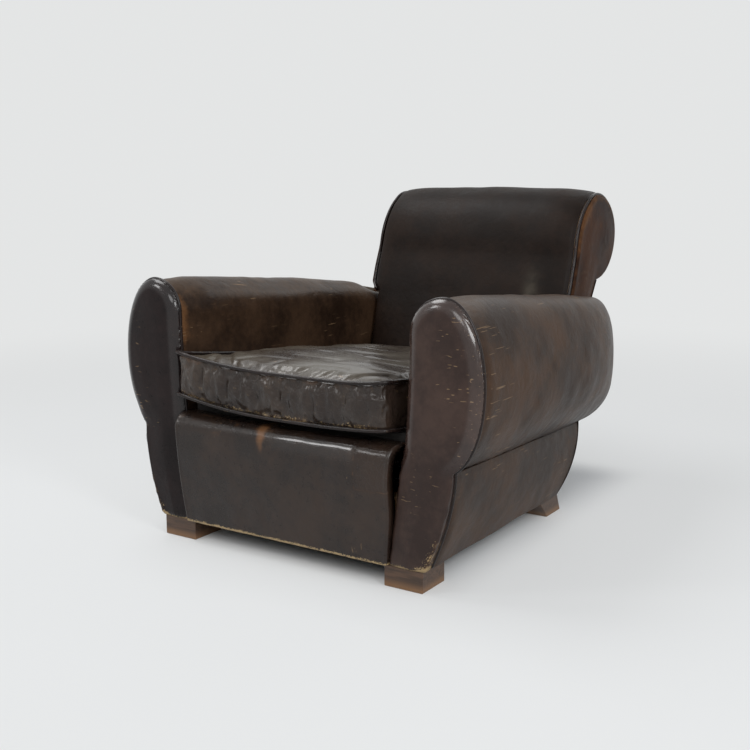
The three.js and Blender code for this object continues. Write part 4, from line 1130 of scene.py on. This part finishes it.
def seat_cushion():
    """The inflated block, kept above the deck, with creases in the front border and soft folds on top."""
    vertices, faces = cushion_block()
    piece = make_piece("cushion", vertices, faces, cushion_leather, "seat_cushion", {})
    inflate(piece)
    mesh = piece.data
    mesh.materials.clear()
    mesh.materials.append(cushion_leather)
    points = points_of(mesh)
    bottom = cushion_bottom(points[:, 0], points[:, 1])
    resting = smooth(points[:, 1], FRONT_Y + 0.045, FRONT_Y + 0.06)
    lifted = np.maximum(points[:, 2], bottom + 0.001)
    points[:, 2] = np.where(resting > 0.5, lifted, points[:, 2])
    front = 1 - smooth(points[:, 1], CUSHION_FRONT, CUSHION_FRONT + 0.03)
    border = front * (1 - near_seams(points, 0.012))
    creases = np.abs(noise(points * [1, 1, 0.35], 0.014, 31))
    creases = creases + 0.6 * np.abs(noise(points * [1, 1, 0.7], 0.03, 32))
    points[:, 1] += border * CUSHION_CREASES * (creases - 0.5)
    upper = smooth(points[:, 2] - cushion_top(points[:, 0], points[:, 1]), -0.008, 0.004)
    folds = noise(points * [0.5, 1, 1], 0.045, 33)
    points[:, 2] += upper * (0.003 * noise(points, 0.10, 34) - 0.0025 * np.exp(-(folds / 0.2) ** 2))
    mesh.vertices.foreach_set("co", points.ravel())
    seam = near_seams(points, 0.02)
    values = {
        "worn": 0.25 * seam + 0.18 * front,
        "bare": 0.40 * seam * front * (points[:, 2] < bottom + 0.03) + 0.22 * front,
        "creased": 0.09 + 0.75 * front,
        "dust_and_sheen": 1.3 * upper + 0.2 * front,
    }
    write_values(mesh, values)
    mesh.polygons.foreach_set("use_smooth", np.full(len(mesh.polygons), True))
    finer = piece.modifiers.new("finer", "SUBSURF")
    finer.levels = 1
    finer.render_levels = 1


def cushion_piping(name, height, node):
    """Closed cord round the cushion at the height that a function gives for each point of its plan."""
    ring = cushion_plan(-PIPING_PROUD, 400)
    piping(name, np.column_stack([ring, height(*ring.T)]), (0, 0, 1), node, closed=True)


seat_cushion()
cushion_piping("cushion_welt_top", lambda x, y: cushion_top(x, y) - 0.002, "cushion_piping_top")
cushion_piping("cushion_welt_bottom", lambda x, y: cushion_bottom(x, y) + 0.004, "cushion_piping_bottom")

# Feet
# Stained hardwood: square blocks fixed on in front, and the splayed ends of the rear posts behind. Their
# lower edges are rubbed down to the bare wood.
WOOD_DARK = (0.048, 0.026, 0.015, 1.0)
WOOD_LIGHT = (0.105, 0.056, 0.032, 1.0)
WOOD_RUBBED = (0.270, 0.140, 0.060, 1.0)
GRAIN_RUN = (1.5, 18.0, 18.0)
RUBBED_HEIGHT = 0.020
FOOT_EDGE = 0.0022


def wood(name, dark, light, rubbed_colour):
    """Straight-grained wood, lighter near the floor where it is rubbed."""
    paint = Paint(name)
    long_grain = paint.stretched(GRAIN_RUN)
    rings = paint.noise(9.0, 4.0, long_grain)
    pores = paint.noise(60.0, 2.0, long_grain)
    colour = paint.blend(paint.step(rings, 0.35, 0.65), dark, light)
    height = paint.node("ShaderNodeSeparateXYZ", {}, {0: paint.place}, "Z")
    low = 1.0 - paint.step(height + (rings - 0.5) * 0.02, 0.004, RUBBED_HEIGHT)
    colour = paint.blend(low * 0.7, colour, rubbed_colour)
    paint.relief(pores * 0.0003 + rings * 0.0004)
    return paint.finish(Base_Color=colour, Roughness=0.45 + (pores - 0.5) * 0.3)


def foot(node, name):
    """Copy of a CAD node's mesh with its doubles merged and its edges rounded."""
    mesh = frame["nodes"][node].data.copy()
    mesh.name = name
    work = bmesh.new()
    work.from_mesh(mesh)
    bmesh.ops.remove_doubles(work, verts=work.verts, dist=1e-5)
    bmesh.ops.dissolve_limit(work, angle_limit=math.radians(2), verts=work.verts, edges=work.edges)
    work.to_mesh(mesh)
    work.free()
    mesh.materials.clear()
    mesh.materials.append(foot_wood)
    piece = bpy.data.objects.new(name, mesh)
    bevel = piece.modifiers.new("eased", "BEVEL")
    bevel.width = FOOT_EDGE
    bevel.segments = 3
    bevel.limit_method = "ANGLE"
    stand_for(piece, node)


foot_wood = wood("foot_wood", WOOD_DARK, WOOD_LIGHT, WOOD_RUBBED)
for side, sign in SIDES:
    foot(f"front_foot_{side}", f"foot_block_{side}")
    foot(f"rear_post_{side}", f"rear_leg_{side}")

# Frame, springs and dust cover
# Under the covers are beech rails and shaped boards, jute webbing, wire springs and hair stuffing. A black
# cloth is tacked under the rails against dust.
BEECH_DARK = (0.30, 0.17, 0.08, 1.0)
BEECH_LIGHT = (0.47, 0.30, 0.16, 1.0)
beech = wood("beech", BEECH_DARK, BEECH_LIGHT, BEECH_LIGHT)


def woven(name, dark, light, scale):
    """Coarse weave: two crossed waves of threads."""
    paint = Paint(name)
    warp = paint.noise(scale, 2.0, paint.stretched((1.0, 0.2, 1.0)))
    weft = paint.noise(scale, 2.0, paint.stretched((0.2, 1.0, 1.0)))
    paint.relief((warp + weft) * 0.0006)
    return paint.finish(Base_Color=paint.blend(warp * 0.5 + weft * 0.5, dark, light), Roughness=0.95)


def spring_steel():
    """Grey wire with spots of brown tarnish."""
    paint = Paint("spring_wire")
    tarnish = paint.noise(50.0, 3.0)
    colour = paint.blend(paint.step(tarnish, 0.4, 0.65), (0.42, 0.41, 0.40, 1.0), (0.16, 0.08, 0.04, 1.0))
    return paint.finish(Base_Color=colour, Metallic=0.9, Roughness=0.35 + tarnish * 0.3)


inner_finish = {
    "frame_wood": beech,
    "jute": woven("jute", (0.18, 0.11, 0.05, 1.0), (0.40, 0.28, 0.13, 1.0), 420.0),
    "stuffing": woven("hair_stuffing", (0.03, 0.02, 0.012, 1.0), (0.11, 0.08, 0.05, 1.0), 160.0),
    "spring_steel": spring_steel(),
    "dust_cloth": woven("dust_cloth", (0.006, 0.006, 0.006, 1.0), (0.020, 0.019, 0.018, 1.0), 800.0),
}
for entry in frame["record"]["subparts"]:
    finish = inner_finish.get(entry["material_slot"])
    if finish:
        body = frame["nodes"][entry["node"]]
        for material_slot in body.material_slots:
            material_slot.material = finish
